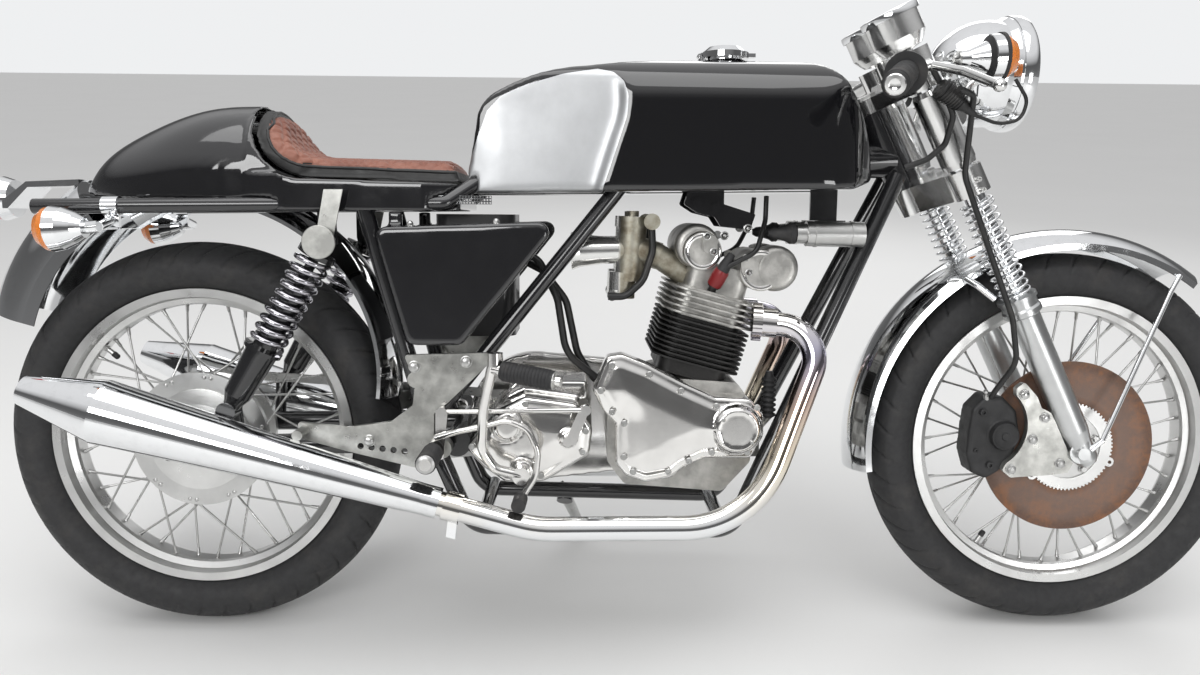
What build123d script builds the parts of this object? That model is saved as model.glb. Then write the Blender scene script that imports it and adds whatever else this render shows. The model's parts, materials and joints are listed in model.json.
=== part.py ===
"""Cafe racer motorcycle, parked on its left side stand.

Everything is drawn upright in the machine's own frame, in millimetres: X forward from the rear
axle, Y to the rider's left, Z up from the floor line. Each piece is then leaned onto the side
stand and moved so that the origin is under the middle of the whole machine.
"""

import os
from math import acos, cos, degrees, radians, sin

from build123d import *

os.makedirs("parts", exist_ok=True)

# Stance on the side stand
LEAN = 10.0
CROWN = 62.0
MIDDLE_X = 707.0
MIDDLE_Y = 151.5
LIFT = CROWN * (1 - cos(radians(LEAN)))

# Wheels
WHEELBASE = 1441.0
REAR_R = 323.7
REAR_HALF = 55.0
FRONT_R = 319.0
FRONT_HALF = 50.0
SEAT_R = 238.0
FLANGE_R = 248.7
RIM_INNER_R = 221.0
SPOKES = 40
SPOKE_R = 1.8
AXLE_R = 10.0
HUB_BORE = AXLE_R + 0.05
CARRIER_Y = -66.0
CARRIER_R = 72.0
CARRIER_TEETH = 72
DISC_SEAT_R = 55.0
DISC_R = 143.0
SPROCKET_Y = 64.0
SPROCKET_WIDE = 6.0
SPROCKET_R = 84.0
GEAR_SPROCKET_R = 38.0
CHAIN_WIDE = 12.0

# Steering
RAKE = 26.5
LEG_Y = 93.5
LEG_R = 17.4
LEG_AHEAD = 8.0
YOKE_OFFSET = 62.0
HEAD_R = 27.0
BOSS_R = 23.0
STEM_R = 13.0

UP = (-sin(radians(RAKE)), 0.0, cos(radians(RAKE)))
AHEAD = (cos(radians(RAKE)), 0.0, sin(radians(RAKE)))
LEG_FOOT = (WHEELBASE + LEG_AHEAD, FRONT_R)
HEAD_FOOT = (LEG_FOOT[0] - YOKE_OFFSET / cos(radians(RAKE)), FRONT_R)

# Joints: steering lock, stand and filler cap
STEER_LOCK = 26.0
STAND_PIVOT = (600.0, 128.0, 176.0)
STAND_FOOT = (632.0, 285.0)
STAND_TUCKED = (-0.99, 0.07, 0.04)
FILLER = (861.0, 0.0)
CAP_HINGE = (820.0, 0.0, 954.0)
CAP_OPEN = 100.0

# Bars and silencer tails
BAR_R = 11.1
BAR_BORE_R = 9.1
BAR_BORE_DEPTH = 70.0
OUTLET_R = 19.0
OUTLET_DEPTH = 60.0
PIPE_R = 19.0
CARB_Y = 40.0


def leg_point(height, y=0.0, ahead=0.0):
    """Point beside a fork leg's axis, at a height over the floor line."""
    up = (height - FRONT_R) / UP[2]
    return (
        LEG_FOOT[0] + up * UP[0] + ahead * AHEAD[0],
        y,
        height + ahead * AHEAD[2],
    )


def head_point(height, y=0.0):
    """Point on the steering axis, at a height over the floor line."""
    up = (height - FRONT_R) / UP[2]
    return (HEAD_FOOT[0] + up * UP[0], y, height)


def floor_point(x, y, z):
    """A point of the parked machine, given over the floor, in the upright machine's frame."""
    a = radians(LEAN)
    return (x, y * cos(a) - (z - LIFT) * sin(a), y * sin(a) + (z - LIFT) * cos(a))


def unit(v):
    size = sum(c * c for c in v) ** 0.5
    return tuple(c / size for c in v)


def across(a, b):
    """Direction square to two others."""
    return unit((a[1] * b[2] - a[2] * b[1], a[2] * b[0] - a[0] * b[2], a[0] * b[1] - a[1] * b[0]))


def beyond(p, direction, distance):
    return tuple(a + b * distance for a, b in zip(p, direction))


def bar_line(side):
    """A clip-on's root and tip."""
    start = leg_point(925, LEG_Y * side)
    return (start[0] - 14, 112.0 * side, 926.0), (1034.0, 330.0 * side, 866.0)


def silencer_line(side):
    """A silencer's inlet and tail."""
    return (398.0, 184.0 * side, 262.5), (-196.0, 193.0 * side, 433.0)


STAND_TIP = floor_point(STAND_FOOT[0], STAND_FOOT[1], 6.0)
STAND_DOWN = unit(tuple(b - a for a, b in zip(STAND_PIVOT, STAND_TIP)))
STAND_AXIS = across(STAND_DOWN, STAND_TUCKED)
STAND_FOLD = round(degrees(acos(sum(a * b for a, b in zip(STAND_DOWN, unit(STAND_TUCKED))))))


def between(p, q):
    """Plane at p that looks towards q."""
    return Plane(origin=p, z_dir=tuple(b - a for a, b in zip(p, q)))


def span(p, q):
    return sum((b - a) ** 2 for a, b in zip(p, q)) ** 0.5


def rod(p, q, r, end_r=None):
    """Round bar, or cone, from p to q."""
    with BuildPart() as made:
        with BuildSketch(between(p, q)):
            Circle(r)
        if end_r is None:
            extrude(amount=span(p, q))
        else:
            with BuildSketch(between(p, q).offset(span(p, q))):
                Circle(end_r)
            loft()
    return made.part


def pipe(points, bend, r, bore=0.0):
    """Bent round tube along points, with one bend radius."""
    with BuildPart() as made:
        with BuildLine() as path:
            FilletPolyline(*points, radius=bend)
        with BuildSketch(between(points[0], points[1])):
            Circle(r)
            if bore:
                Circle(bore, mode=Mode.SUBTRACT)
        sweep(path=path.line)
    return made.part


def disc(x, z, y0, y1, r, bore=0.0):
    """Round piece whose axis lies along Y, from y0 to y1."""
    with BuildPart() as made:
        with BuildSketch(Plane(origin=(x, y0, z), z_dir=(0, 1 if y1 > y0 else -1, 0))):
            Circle(r)
            if bore:
                Circle(bore, mode=Mode.SUBTRACT)
        extrude(amount=abs(y1 - y0))
    return made.part


def plate(points, y0, y1, corner=0.0):
    """Flat piece drawn in side view as X and Z, from y0 up to y1."""
    with BuildPart() as made:
        with BuildSketch(Plane.XZ.offset(-y1)) as face:
            with BuildLine():
                Polyline(*points, close=True)
            make_face()
            if corner:
                fillet(face.vertices(), corner)
        extrude(amount=y1 - y0)
    return made.part


def ring(x, z, profile):
    """Piece turned about the Y axis through x and z, from a profile of Y and radius."""
    with BuildPart() as made:
        with BuildSketch(Plane(origin=(x, 0, z), x_dir=(0, 1, 0), z_dir=(1, 0, 0))):
            with BuildLine():
                Polyline(*profile, close=True)
            make_face()
        revolve(axis=Axis((x, 0, z), (0, 1, 0)))
    return made.part


def turned(p, q, profile):
    """Piece turned about the line from p to q, from a profile of distance along it and radius."""
    line = between(p, q)
    side = Plane(origin=p, x_dir=line.z_dir, z_dir=line.y_dir)
    with BuildPart() as made:
        with BuildSketch(side):
            with BuildLine():
                Polyline(*profile, close=True)
            make_face()
        revolve(axis=Axis(p, line.z_dir))
    return made.part


def coil(p, q, r, wire, turns):
    """Wound spring from p to q."""
    length = span(p, q)
    with BuildPart() as made:
        with BuildLine() as path:
            Helix(pitch=length / turns, height=length, radius=r, center=p,
                  direction=tuple(b - a for a, b in zip(p, q)))
        with BuildSketch(Plane(origin=path.line @ 0, z_dir=path.line % 0)):
            Circle(wire)
        sweep(path=path.line, is_frenet=True)
    return made.part


def tyre(x, z, outer, half, bead, crown_angle):
    shoulder_y = CROWN * sin(radians(crown_angle))
    shoulder_r = outer - CROWN * (1 - cos(radians(crown_angle)))
    with BuildPart() as made:
        with BuildSketch(Plane(origin=(x, 0, z), x_dir=(0, 1, 0), z_dir=(1, 0, 0))):
            with BuildLine():
                Polyline((bead, FLANGE_R + 1), (bead, SEAT_R), (-bead, SEAT_R), (-bead, FLANGE_R + 1))
                ThreePointArc((-bead, FLANGE_R + 1), (-half, shoulder_r - 22), (-shoulder_y, shoulder_r))
                ThreePointArc((-shoulder_y, shoulder_r), (0, outer), (shoulder_y, shoulder_r))
                ThreePointArc((shoulder_y, shoulder_r), (half, shoulder_r - 22), (bead, FLANGE_R + 1))
            make_face()
        revolve(axis=Axis((x, 0, z), (0, 1, 0)))
    return made.part


def rim(x, z, half):
    profile = [
        (-half - 4, FLANGE_R), (-half, FLANGE_R), (-half, SEAT_R), (-half + 12, SEAT_R),
        (-13, 227), (13, 227), (half - 12, SEAT_R), (half, SEAT_R), (half, FLANGE_R),
        (half + 4, FLANGE_R), (half + 4, SEAT_R - 3), (half - 10, SEAT_R - 6), (18, RIM_INNER_R + 2),
        (12, RIM_INNER_R), (-12, RIM_INNER_R), (-18, RIM_INNER_R + 2), (-half + 10, SEAT_R - 6),
        (-half - 4, SEAT_R - 3),
    ]
    return ring(x, z, profile)


def spokes(x, z, near, near_r, far, far_r, cross, hub, around):
    """Laced spokes from flanges at y near and far, each pair passing side by side."""
    made = []
    for i in range(SPOKES):
        side, flange = ((near, near_r), (far, far_r))[i % 2]
        inward = 1 if side < 0 else -1
        outer_lace = (i // 2) % 2
        a = radians(360.0 / SPOKES * i + (cross if outer_lace else -cross))
        b = radians(360.0 / SPOKES * i)
        start_y = side + (1.9 if outer_lace else -1.9)
        end_y = -inward * (8.0 if outer_lace == (side > 0) else 3.0)
        p = (x + flange * cos(a), start_y, z + flange * sin(a))
        q = (x + (RIM_INNER_R + 0.6) * cos(b), end_y, z + (RIM_INNER_R + 0.6) * sin(b))
        made.append(rod(p, q, SPOKE_R))
    return Compound(made) - hub - around


def mirrored(shape):
    """The same piece on the machine's other side."""
    with BuildPart() as made:
        add(shape)
        mirror(about=Plane.XZ, mode=Mode.REPLACE)
    return made.part


def both(shape):
    """A piece and its mirror image."""
    with BuildPart() as made:
        add(shape)
        mirror(about=Plane.XZ)
    return made.part


pieces = {}

# Rear wheel
pieces["rear_tyre"] = tyre(0, REAR_R, REAR_R, REAR_HALF, 34, 52)
pieces["rear_rim"] = rim(0, REAR_R, 34)
rear_hub_profile = [
    (-62, 20), (-62, 34), (-56, 60), (-53, 84), (-49, 84), (-49, 112), (-39, 112), (-39, 88),
    (-30, 40), (20, 40), (28, 80), (32, 98), (42, 98), (42, 90), (46, 90), (46, 40), (SPROCKET_Y, 36),
    (SPROCKET_Y, HUB_BORE), (-62, HUB_BORE),
]
pieces["rear_hub"] = ring(0, REAR_R, rear_hub_profile)
pieces["rear_spokes"] = spokes(0, REAR_R, -44, 109.5, 37, 95.5, 24, pieces["rear_hub"], pieces["rear_rim"])
with BuildPart() as sprocket:
    with BuildSketch(Plane(origin=(0, SPROCKET_Y, REAR_R), z_dir=(0, 1, 0))):
        Circle(SPROCKET_R - 3)
        with PolarLocations(SPROCKET_R - 4, 42):
            Circle(3.2)
        Circle(24, mode=Mode.SUBTRACT)
        with PolarLocations(55, 6):
            Circle(13, mode=Mode.SUBTRACT)
    extrude(amount=SPROCKET_WIDE)
pieces["rear_sprocket"] = sprocket.part

# Front wheel and disc
FX = WHEELBASE
pieces["front_tyre"] = tyre(FX, FRONT_R, FRONT_R, FRONT_HALF, 30, 47)
pieces["front_rim"] = rim(FX, FRONT_R, 30)
front_hub_profile = [
    (CARRIER_Y, HUB_BORE), (CARRIER_Y, 20), (CARRIER_Y + 2, CARRIER_R - 18), (CARRIER_Y, CARRIER_R - 18),
    (CARRIER_Y, CARRIER_R), (CARRIER_Y + 4, CARRIER_R), (CARRIER_Y + 4, DISC_SEAT_R),
    (CARRIER_Y + 9, DISC_SEAT_R), (CARRIER_Y + 9, 62), (CARRIER_Y + 13, 62), (-48, 34), (-43, 34), (-41, 58),
    (-31, 58), (-27, 28), (26, 26), (30, 50), (40, 50), (44, 28), (58, 24), (58, HUB_BORE),
]
pieces["front_hub"] = ring(FX, FRONT_R, front_hub_profile)
pieces["front_spokes"] = spokes(FX, FRONT_R, -36, 55.4, 35, 47.4, 50, pieces["front_hub"], pieces["front_rim"])
with BuildPart() as carrier:
    with BuildSketch(Plane(origin=(FX, CARRIER_Y + 4, FRONT_R), z_dir=(0, -1, 0))):
        with PolarLocations(CARRIER_R + 1, CARRIER_TEETH):
            Circle(1.7)
        with PolarLocations(CARRIER_R + 3, 3, start_angle=70):
            Circle(8)
        Circle(CARRIER_R - 8, mode=Mode.SUBTRACT)
        with PolarLocations(CARRIER_R + 4, 3, start_angle=70):
            Circle(3, mode=Mode.SUBTRACT)
    extrude(amount=4)
pieces["disc_carrier"] = carrier.part
with BuildPart() as brake_disc:
    with BuildSketch(Plane(origin=(FX, CARRIER_Y + 4, FRONT_R), z_dir=(0, 1, 0))):
        Circle(DISC_R)
        Circle(DISC_SEAT_R + 0.05, mode=Mode.SUBTRACT)
    extrude(amount=5)
pieces["brake_disc"] = brake_disc.part

# Steering: yokes, stanchions, sliders
BOTTOM_YOKE_Z = 752.0
TOP_YOKE_Z = 905.0
with BuildPart() as stanchions:
    for y in (-LEG_Y, LEG_Y):
        add(rod(leg_point(540, y), leg_point(934, y), LEG_R))
pieces["stanchions"] = stanchions.part


def yoke(height, thick, name_r):
    """Fork yoke square to the steering axis, bored for both legs and the stem."""
    middle = leg_point(height)
    top = Plane(origin=middle, x_dir=(0, 1, 0), z_dir=UP)
    with BuildPart() as made:
        with BuildSketch(top.offset(-thick / 2)):
            with Locations((-LEG_Y, 0), (LEG_Y, 0)):
                Circle(name_r)
            with BuildLine():
                Polyline((-LEG_Y, -20), (LEG_Y, -20), (LEG_Y, 22), (BOSS_R, YOKE_OFFSET),
                         (-BOSS_R, YOKE_OFFSET), (-LEG_Y, 22), close=True)
            make_face()
            with Locations((0, YOKE_OFFSET)):
                Circle(BOSS_R)
        extrude(amount=thick)
        with BuildSketch(top.offset(-thick)):
            with Locations((-LEG_Y, 0), (LEG_Y, 0)):
                Circle(LEG_R)
        extrude(amount=2 * thick, mode=Mode.SUBTRACT)
    return made.part


STEM_LOW = head_point(BOTTOM_YOKE_Z - YOKE_OFFSET * AHEAD[2])
STEM_HIGH = head_point(TOP_YOKE_Z - YOKE_OFFSET * AHEAD[2])
pieces["bottom_yoke"] = yoke(BOTTOM_YOKE_Z, 44, 29) + rod(STEM_LOW, STEM_HIGH, STEM_R)
pieces["top_yoke"] = yoke(TOP_YOKE_Z, 24, 27) - pieces["bottom_yoke"]
with BuildPart() as sleeves:
    for y in (-LEG_Y, LEG_Y):
        low = leg_point(776, y)
        high = leg_point(891, y)
        add(turned(low, high, [(0, LEG_R), (0, 25), (8, 27), (span(low, high) - 8, 27), (span(low, high), 25),
                               (span(low, high), LEG_R)]))
pieces["fork_sleeves"] = sleeves.part
with BuildPart() as sliders:
    for y in (-LEG_Y, LEG_Y):
        low = leg_point(300, y)
        length = span(low, leg_point(572, y))
        add(turned(low, leg_point(572, y), [
            (0, 0), (0, 15), (8, 19), (40, 20), (60, 23), (length - 34, 24), (length - 30, 30),
            (length - 22, 30), (length - 18, 28), (length - 6, 28), (length - 6, 31), (length, 31),
            (length, LEG_R), (length - 40, LEG_R), (length - 40, 0),
        ]))
        add(disc(FX, FRONT_R, y - 14 if y > 0 else y - 12, y + 12 if y > 0 else y + 14, 18))
pieces["fork_sliders"] = sliders.part + rod((FX, -116, FRONT_R), (FX, 116, FRONT_R), AXLE_R)
with BuildPart() as fork_springs:
    for y in (-LEG_Y, LEG_Y):
        add(coil(leg_point(573.3, y), leg_point(722, y), 26, 1.6, 7))
pieces["fork_springs"] = fork_springs.part


def guard(x, z, edge_r, half, rise, skirt, thick, first, last):
    """Mudguard bent round an axis along Y, from angle first to angle last over the +X line."""
    a = radians(first)
    out = (cos(a), 0, sin(a))
    with BuildPart() as made:
        with BuildSketch(Plane(origin=(x, 0, z), x_dir=(0, 1, 0), z_dir=(sin(a), 0, -cos(a)))):
            with BuildLine():
                Line((-half, edge_r), (-half, edge_r + skirt))
                ThreePointArc((-half, edge_r + skirt), (0, edge_r + skirt + rise), (half, edge_r + skirt))
                Polyline((half, edge_r + skirt), (half, edge_r), (half - thick, edge_r),
                         (half - thick, edge_r + skirt))
                ThreePointArc((half - thick, edge_r + skirt), (0, edge_r + skirt + rise - thick),
                              (thick - half, edge_r + skirt))
                Polyline((thick - half, edge_r + skirt), (thick - half, edge_r), (-half, edge_r))
            make_face()
        revolve(axis=Axis((x, 0, z), (0, -1, 0)), revolution_arc=last - first)
    return made.part


# Front mudguard, its stays and bracket
GUARD_EDGE = FRONT_R + 8
pieces["front_mudguard"] = guard(FX, FRONT_R, GUARD_EDGE, 58, 22, 10, 2, 54, 188)


def guard_edge(angle, y, outwards=0.0):
    r = GUARD_EDGE + outwards
    return (FX + r * cos(radians(angle)), y, FRONT_R + r * sin(radians(angle)))


with BuildPart() as stays:
    for y in (-1, 1):
        top = guard_edge(60, 61.8 * y, 4)
        bend = guard_edge(60, 66 * y, -30)
        foot = (FX + 30, 111 * y, FRONT_R + 22)
        add(pipe([top, bend, foot], 12, 4))
        add(rod(foot, (FX + 12, 111 * y, FRONT_R + 6), 4.6))
        shelf = leg_point(574, 93.5 * y, -20)
        add(pipe([(shelf[0] - 14, 93.5 * y, 566), (shelf[0] - 38, 77 * y, 588), (shelf[0] - 48, 60 * y, 597)], 12, 6))
    clear = pieces["front_mudguard"] + pieces["fork_sliders"]
    add(clear, mode=Mode.SUBTRACT)
pieces["mudguard_stays"] = stays.part

# Front brake caliper on its plate, right leg
with BuildPart() as caliper_plate:
    with BuildSketch(Plane.XZ.offset(88)) as face:
        with BuildLine():
            Polyline((1332, 412), (1331, 424), (1344, 434), (1366, 410), (1374, 392), (1390, 384), (1400, 366),
                     (1432, 300), (1424, 284), (1392, 280), (1330, 276), (1316, 288), (1322, 300))
            ThreePointArc((1322, 300), (1352, 345), (1332, 412))
        make_face()
        fillet(face.vertices().filter_by_position(Axis.X, 1310, 1345), 5)
    extrude(amount=12)
with BuildPart() as caliper:
    with BuildSketch(Plane.XZ.offset(42)) as face:
        with BuildLine():
            Polyline((1264, 352), (1268, 386), (1288, 408), (1316, 408), (1340, 384), (1348, 345), (1338, 306),
                     (1316, 282), (1296, 270), (1272, 280), (1262, 312), close=True)
        make_face()
        fillet(face.vertices(), 6)
    extrude(amount=46)
    fillet(caliper.faces().sort_by(Axis.Y)[0].edges(), 5)
    add(disc(1319, 344, -88, -97, 23))
    add(disc(1319, 344, -97, -98.5, 20))
    add(disc(FX, FRONT_R, CARRIER_Y - 1, CARRIER_Y + 14, DISC_R + 7), mode=Mode.SUBTRACT)
pieces["brake_caliper"] = caliper.part
pieces["caliper_plate"] = caliper_plate.part - pieces["brake_caliper"] - pieces["fork_sliders"]

# Headlamp, instruments, clip-ons, levers, front indicators
LAMP = (1288, 0, 930)
LAMP_R = 90.0
with BuildPart() as lamp_shell:
    with BuildSketch(Plane.XZ) as outline:
        with BuildLine():
            Line((-92, 0), (44, 0))
            Line((44, 0), (44, LAMP_R))
            Line((44, LAMP_R), (24, LAMP_R))
            Line((24, LAMP_R), (14, LAMP_R - 6))
            ThreePointArc((14, LAMP_R - 6), (-62, 62), (-92, 6))
            Line((-92, 6), (-92, 0))
        make_face()
    revolve(axis=Axis.X)
pieces["headlamp_shell"] = Pos(*LAMP) * lamp_shell.part
with BuildPart() as lamp_glass:
    with BuildSketch(Plane.XZ):
        with BuildLine():
            Line((44, 0), (44, LAMP_R - 8))
            ThreePointArc((44, LAMP_R - 8), (56, LAMP_R - 40), (62, 3))
            Polyline((62, 3), (62, 0), (44, 0))
        make_face()
    revolve(axis=Axis.X)
pieces["headlamp_glass"] = Pos(*LAMP) * lamp_glass.part
LAMP_INSIDE = rod(LAMP, (LAMP[0] - 70, 0, LAMP[2]), LAMP_R - 12)
with BuildPart() as lamp_ears:
    for y in (-1, 1):
        add(pipe([leg_point(840, 97 * y, 26), leg_point(872, 97 * y, 60), (LAMP[0] - 6, 97 * y, LAMP[2])], 14, 6))
        add(disc(LAMP[0] - 6, LAMP[2], 70 * y, 104 * y, 11))
        add(disc(leg_point(840)[0] + 20, 850, 91 * y, 103 * y, 14))
pieces["headlamp_ears"] = (lamp_ears.part - pieces["fork_sleeves"] - pieces["stanchions"]
                           - pieces["headlamp_shell"] - LAMP_INSIDE)

GAUGE_R = 42.0
with BuildPart() as gauges:
    for y in (-54, 54):
        foot = leg_point(925, y, 6)
        top = leg_point(1010, y, 6)
        length = span(foot, top)
        add(turned(foot, top, [(0, 0), (0, 13), (30, 13), (34, 30), (42, GAUGE_R - 6), (52, GAUGE_R), (length - 8, GAUGE_R),
                               (length - 8, GAUGE_R + 3), (length, GAUGE_R + 3), (length, 0)]))
    add(plate([(1125, 902), (1125, 916), (1195, 950), (1195, 936)], -66, 66))
GAUGES = gauges.part

with BuildPart() as bars:
    for side in (-1, 1):
        root, tip = bar_line(side)
        add(rod(root, tip, BAR_R))
        add(rod(leg_point(918.5, LEG_Y * side), leg_point(950, LEG_Y * side), 26))
        add(rod(leg_point(900, LEG_Y * side), leg_point(936, LEG_Y * side), LEG_R), mode=Mode.SUBTRACT)
        add(rod(beyond(tip, unit(tuple(a - b for a, b in zip(root, tip))), BAR_BORE_DEPTH), tip, BAR_BORE_R),
            mode=Mode.SUBTRACT)
pieces["clip_on_bars"] = bars.part - pieces["top_yoke"] - pieces["stanchions"]
pieces["instruments"] = GAUGES - pieces["clip_on_bars"] - pieces["top_yoke"] - pieces["stanchions"]


def on_bar(part, side):
    """Point a part of the way from a clip-on's root to its tip."""
    root, tip = bar_line(side)
    return tuple(a + (b - a) * part for a, b in zip(root, tip))


with BuildPart() as grips:
    for side in (-1, 1):
        a = on_bar(0.44, side)
        b = on_bar(1.0, side)
        length = span(a, b)
        add(turned(a, b, [(0, BAR_R), (0, 30), (5, 30), (5, 17.5), (length - 4, 17), (length, 15), (length, BAR_R)]))
pieces["grips"] = grips.part
with BuildPart() as levers:
    for side in (-1, 1):
        hub = on_bar(0.22, side)
        nose = (hub[0] + 30, hub[1], hub[2] + 6)
        add(rod(on_bar(0.14, side), on_bar(0.32, side), 17) - rod(on_bar(0, side), on_bar(0.6, side), BAR_R))
        add(rod((hub[0] + 12, hub[1], hub[2]), nose, 10))
        add(pipe([nose, (nose[0] + 26, hub[1] + 60 * side, hub[2] - 12), (1176, 318 * side, 868)], 50, 6.5))
        with Locations((1176, 318 * side, 868)):
            Sphere(9)
pieces["levers"] = levers.part - pieces["clip_on_bars"]
with BuildPart() as front_indicators:
    for side in (-1, 1):
        y = 168 * side
        add(turned((1178, y, 926), (1258, y, 930), [(0, 0), (0, 11), (16, 13), (40, 24), (46, 33), (62, 34), (62, 0)]))
        add(rod((1190, y, 926), (1240, 101 * side, 906), 6))
pieces["front_indicators"] = front_indicators.part - pieces["headlamp_ears"]
with BuildPart() as front_lenses:
    for side in (-1, 1):
        y = 168 * side
        add(turned((1240.2, y, 929.1), (1276, y, 930.9), [(0, 0), (0, 32), (8, 31), (18, 24), (24, 12), (26, 0)]))
pieces["front_indicator_lenses"] = front_lenses.part

# Frame
HEAD_LOW = head_point(BOTTOM_YOKE_Z - YOKE_OFFSET * AHEAD[2] + 22.5 * UP[2])
HEAD_HIGH = head_point(TOP_YOKE_Z - YOKE_OFFSET * AHEAD[2] - 12.5 * UP[2])
SPINE_Z = 790.0
with BuildPart() as spine:
    add(rod(HEAD_LOW, HEAD_HIGH, HEAD_R))
    add(rod(head_point(SPINE_Z), (453, 0, SPINE_Z - 24), 28.6))
    add(rod((1150, 0, 775), (800, 0, 772), 14))
    add(rod((466, -105, 744), (466, 105, 744), 12))
    add(rod(STEM_LOW, STEM_HIGH, STEM_R + 0.05), mode=Mode.SUBTRACT)
pieces["frame_spine"] = spine.part
with BuildPart() as rails:
    for y in (-1, 1):
        add(pipe([(1146, 30 * y, 764), (876, 97.2 * y, 187), (452, 104 * y, 196), (396, 104 * y, 330)], 46, 14))
    add(rod((860, -96, 196), (860, 96, 196), 12))
    add(rod((470, -104, 205), (470, 104, 205), 12))
    for a, b in ((-13.5, -8.5), (8.5, 13.5)):
        add(rod(beyond(STAND_PIVOT, STAND_AXIS, a), beyond(STAND_PIVOT, STAND_AXIS, b), 15))
        cheek = beyond(beyond(STAND_PIVOT, STAND_AXIS, (a + b) / 2), STAND_DOWN, -11)
        add(rod(cheek, beyond(cheek, STAND_DOWN, -23), 2.4))
    add(rod(beyond(STAND_PIVOT, STAND_AXIS, -13.5), beyond(STAND_PIVOT, STAND_AXIS, 13.5), 8))
pieces["frame_lower_loop"] = rails.part - pieces["frame_spine"] - rod(STEM_LOW, STEM_HIGH, STEM_R + 1)
SHOCK_IN = 126.0
with BuildPart() as uprights:
    for y in (-1, 1):
        add(rod((394, 104 * y, 334), (296, 118.5 * y, 704), 13))
        add(rod((690, 72 * y, 742), (387, 118 * y, 364), 13))
        add(plate([(226, 698), (226, 652), (234, 643), (246, 641), (254, 647), (252, 698)],
                  min(116 * y, SHOCK_IN * y), max(116 * y, SHOCK_IN * y)))
    add(rod((689, -72, 741), (689, 72, 741), 11))
pieces["frame_uprights"] = uprights.part - pieces["frame_spine"] - pieces["frame_lower_loop"]
with BuildPart() as seat_rails:
    for y in (-1, 1):
        add(pipe([(466, 97 * y, 744), (420, 122 * y, 712), (-202, 122 * y, 703)], 14, 11.5))
        add(rod((-60, 66.2 * y, 704), (-60, 122 * y, 704), 7))
    add(pieces["frame_spine"], mode=Mode.SUBTRACT)
pieces["seat_rails"] = seat_rails.part

PIVOT = (430, 330)
SHOCK_LOW = (84, 392)
SHOCK_HIGH = (239, 653)
SHOCK_Y = SHOCK_IN + 14
ARM_Y = 92.0
ARM_R = 17.0
with BuildPart() as swingarm:
    add(disc(PIVOT[0], PIVOT[1], -96, 96, 22))
    for y in (-1, 1):
        add(rod((PIVOT[0], 79 * y, PIVOT[1]), (30, ARM_Y * y, REAR_R), ARM_R))
        add(plate([(-40, 300), (-40, 347), (44, 347), (44, 300)], min(86 * y, 98 * y), max(86 * y, 98 * y), 8))
        add(rod((SHOCK_LOW[0], 98 * y, 336), (SHOCK_LOW[0], 112 * y, SHOCK_LOW[1]), 10))
        add(disc(SHOCK_LOW[0], SHOCK_LOW[1], 108 * y, (SHOCK_Y - 14) * y, 10))
    add(rod((364, -84, PIVOT[1] - 2), (364, 84, PIVOT[1] - 2), 14))
    add(disc(0, REAR_R, -112, 112, AXLE_R))
pieces["swingarm"] = swingarm.part
pieces["frame_uprights"] = pieces["frame_uprights"] - pieces["swingarm"]
pieces["frame_lower_loop"] = pieces["frame_lower_loop"] - pieces["swingarm"]

with BuildPart() as dampers:
    for y in (-SHOCK_Y, SHOCK_Y):
        low = (SHOCK_LOW[0], y, SHOCK_LOW[1])
        high = (SHOCK_HIGH[0], y, SHOCK_HIGH[1])
        length = span(low, high)
        add(turned(low, high, [(0, 0), (0, 11), (14, 14), (30, 21), (length * 0.36, 25), (length * 0.36, 30),
                               (length * 0.36 + 6, 30), (length * 0.36 + 6, 18), (length * 0.72, 18),
                               (length * 0.72, 8), (length - 26, 8), (length - 26, 29), (length - 18, 29),
                               (length - 16, 12), (length, 12), (length, 0)]))
        for x, z in (SHOCK_LOW, SHOCK_HIGH):
            add(disc(x, z, y - 14, y + 14, 15))
pieces["shock_dampers"] = dampers.part
with BuildPart() as springs:
    for y in (-SHOCK_Y, SHOCK_Y):
        low = (SHOCK_LOW[0], y, SHOCK_LOW[1])
        high = (SHOCK_HIGH[0], y, SHOCK_HIGH[1])
        length = span(low, high)
        u = tuple((b - a) / length for a, b in zip(low, high))
        a = tuple(c + d * (length * 0.36 + 10.5) for c, d in zip(low, u))
        b = tuple(c + d * (length - 30.5) for c, d in zip(low, u))
        add(coil(a, b, 25, 4.2, 10))
pieces["shock_springs"] = springs.part
with BuildPart() as straps:
    for y in (-1, 1):
        add(disc(SHOCK_HIGH[0], SHOCK_HIGH[1], 154.2 * y, 162 * y, 20))
        add(plate([(230, 650), (256, 650), (274, 731), (246, 731)], min(155 * y, 158 * y), max(155 * y, 158 * y)))
pieces["shock_straps"] = straps.part - pieces["shock_dampers"]

# Rear mudguard and lamp
REAR_GUARD = (
    # edge radius, rise, skirt, wall, first angle, last angle
    (277, 24, 6, 2, -8, 123.6),
    (280, 73, 20, 60, 123.6, 124),
    (280, 73, 20, 2, 124, 164),
)
with BuildPart() as rear_guard:
    for edge_r, rise, skirt, thick, first, last in REAR_GUARD:
        add(guard(20, 435, edge_r, 66, rise, skirt, thick, first, last))
    with Locations((315, 66, 400)):
        Box(90, 20, 44, mode=Mode.SUBTRACT)
pieces["rear_mudguard"] = rear_guard.part
TAIL = (-318, 0, 716)
with BuildPart() as tail_lamp:
    add(rod(TAIL, (TAIL[0] + 18, 0, TAIL[2]), 36, 30))
    add(plate([(-304, 700), (-296, 700), (-262, 734), (-196, 736), (-180, 738), (-180, 747), (-264, 743),
               (-304, 712)], -34, 34))
pieces["tail_lamp"] = tail_lamp.part - guard(20, 435, 280, 66, 73, 20, 60, 120, 164)
pieces["tail_lamp_lens"] = turned(TAIL, (TAIL[0] - 28, 0, TAIL[2]),
                                  [(0, 0), (0, 35), (16, 33), (24, 26), (28, 14), (28, 0)])
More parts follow.
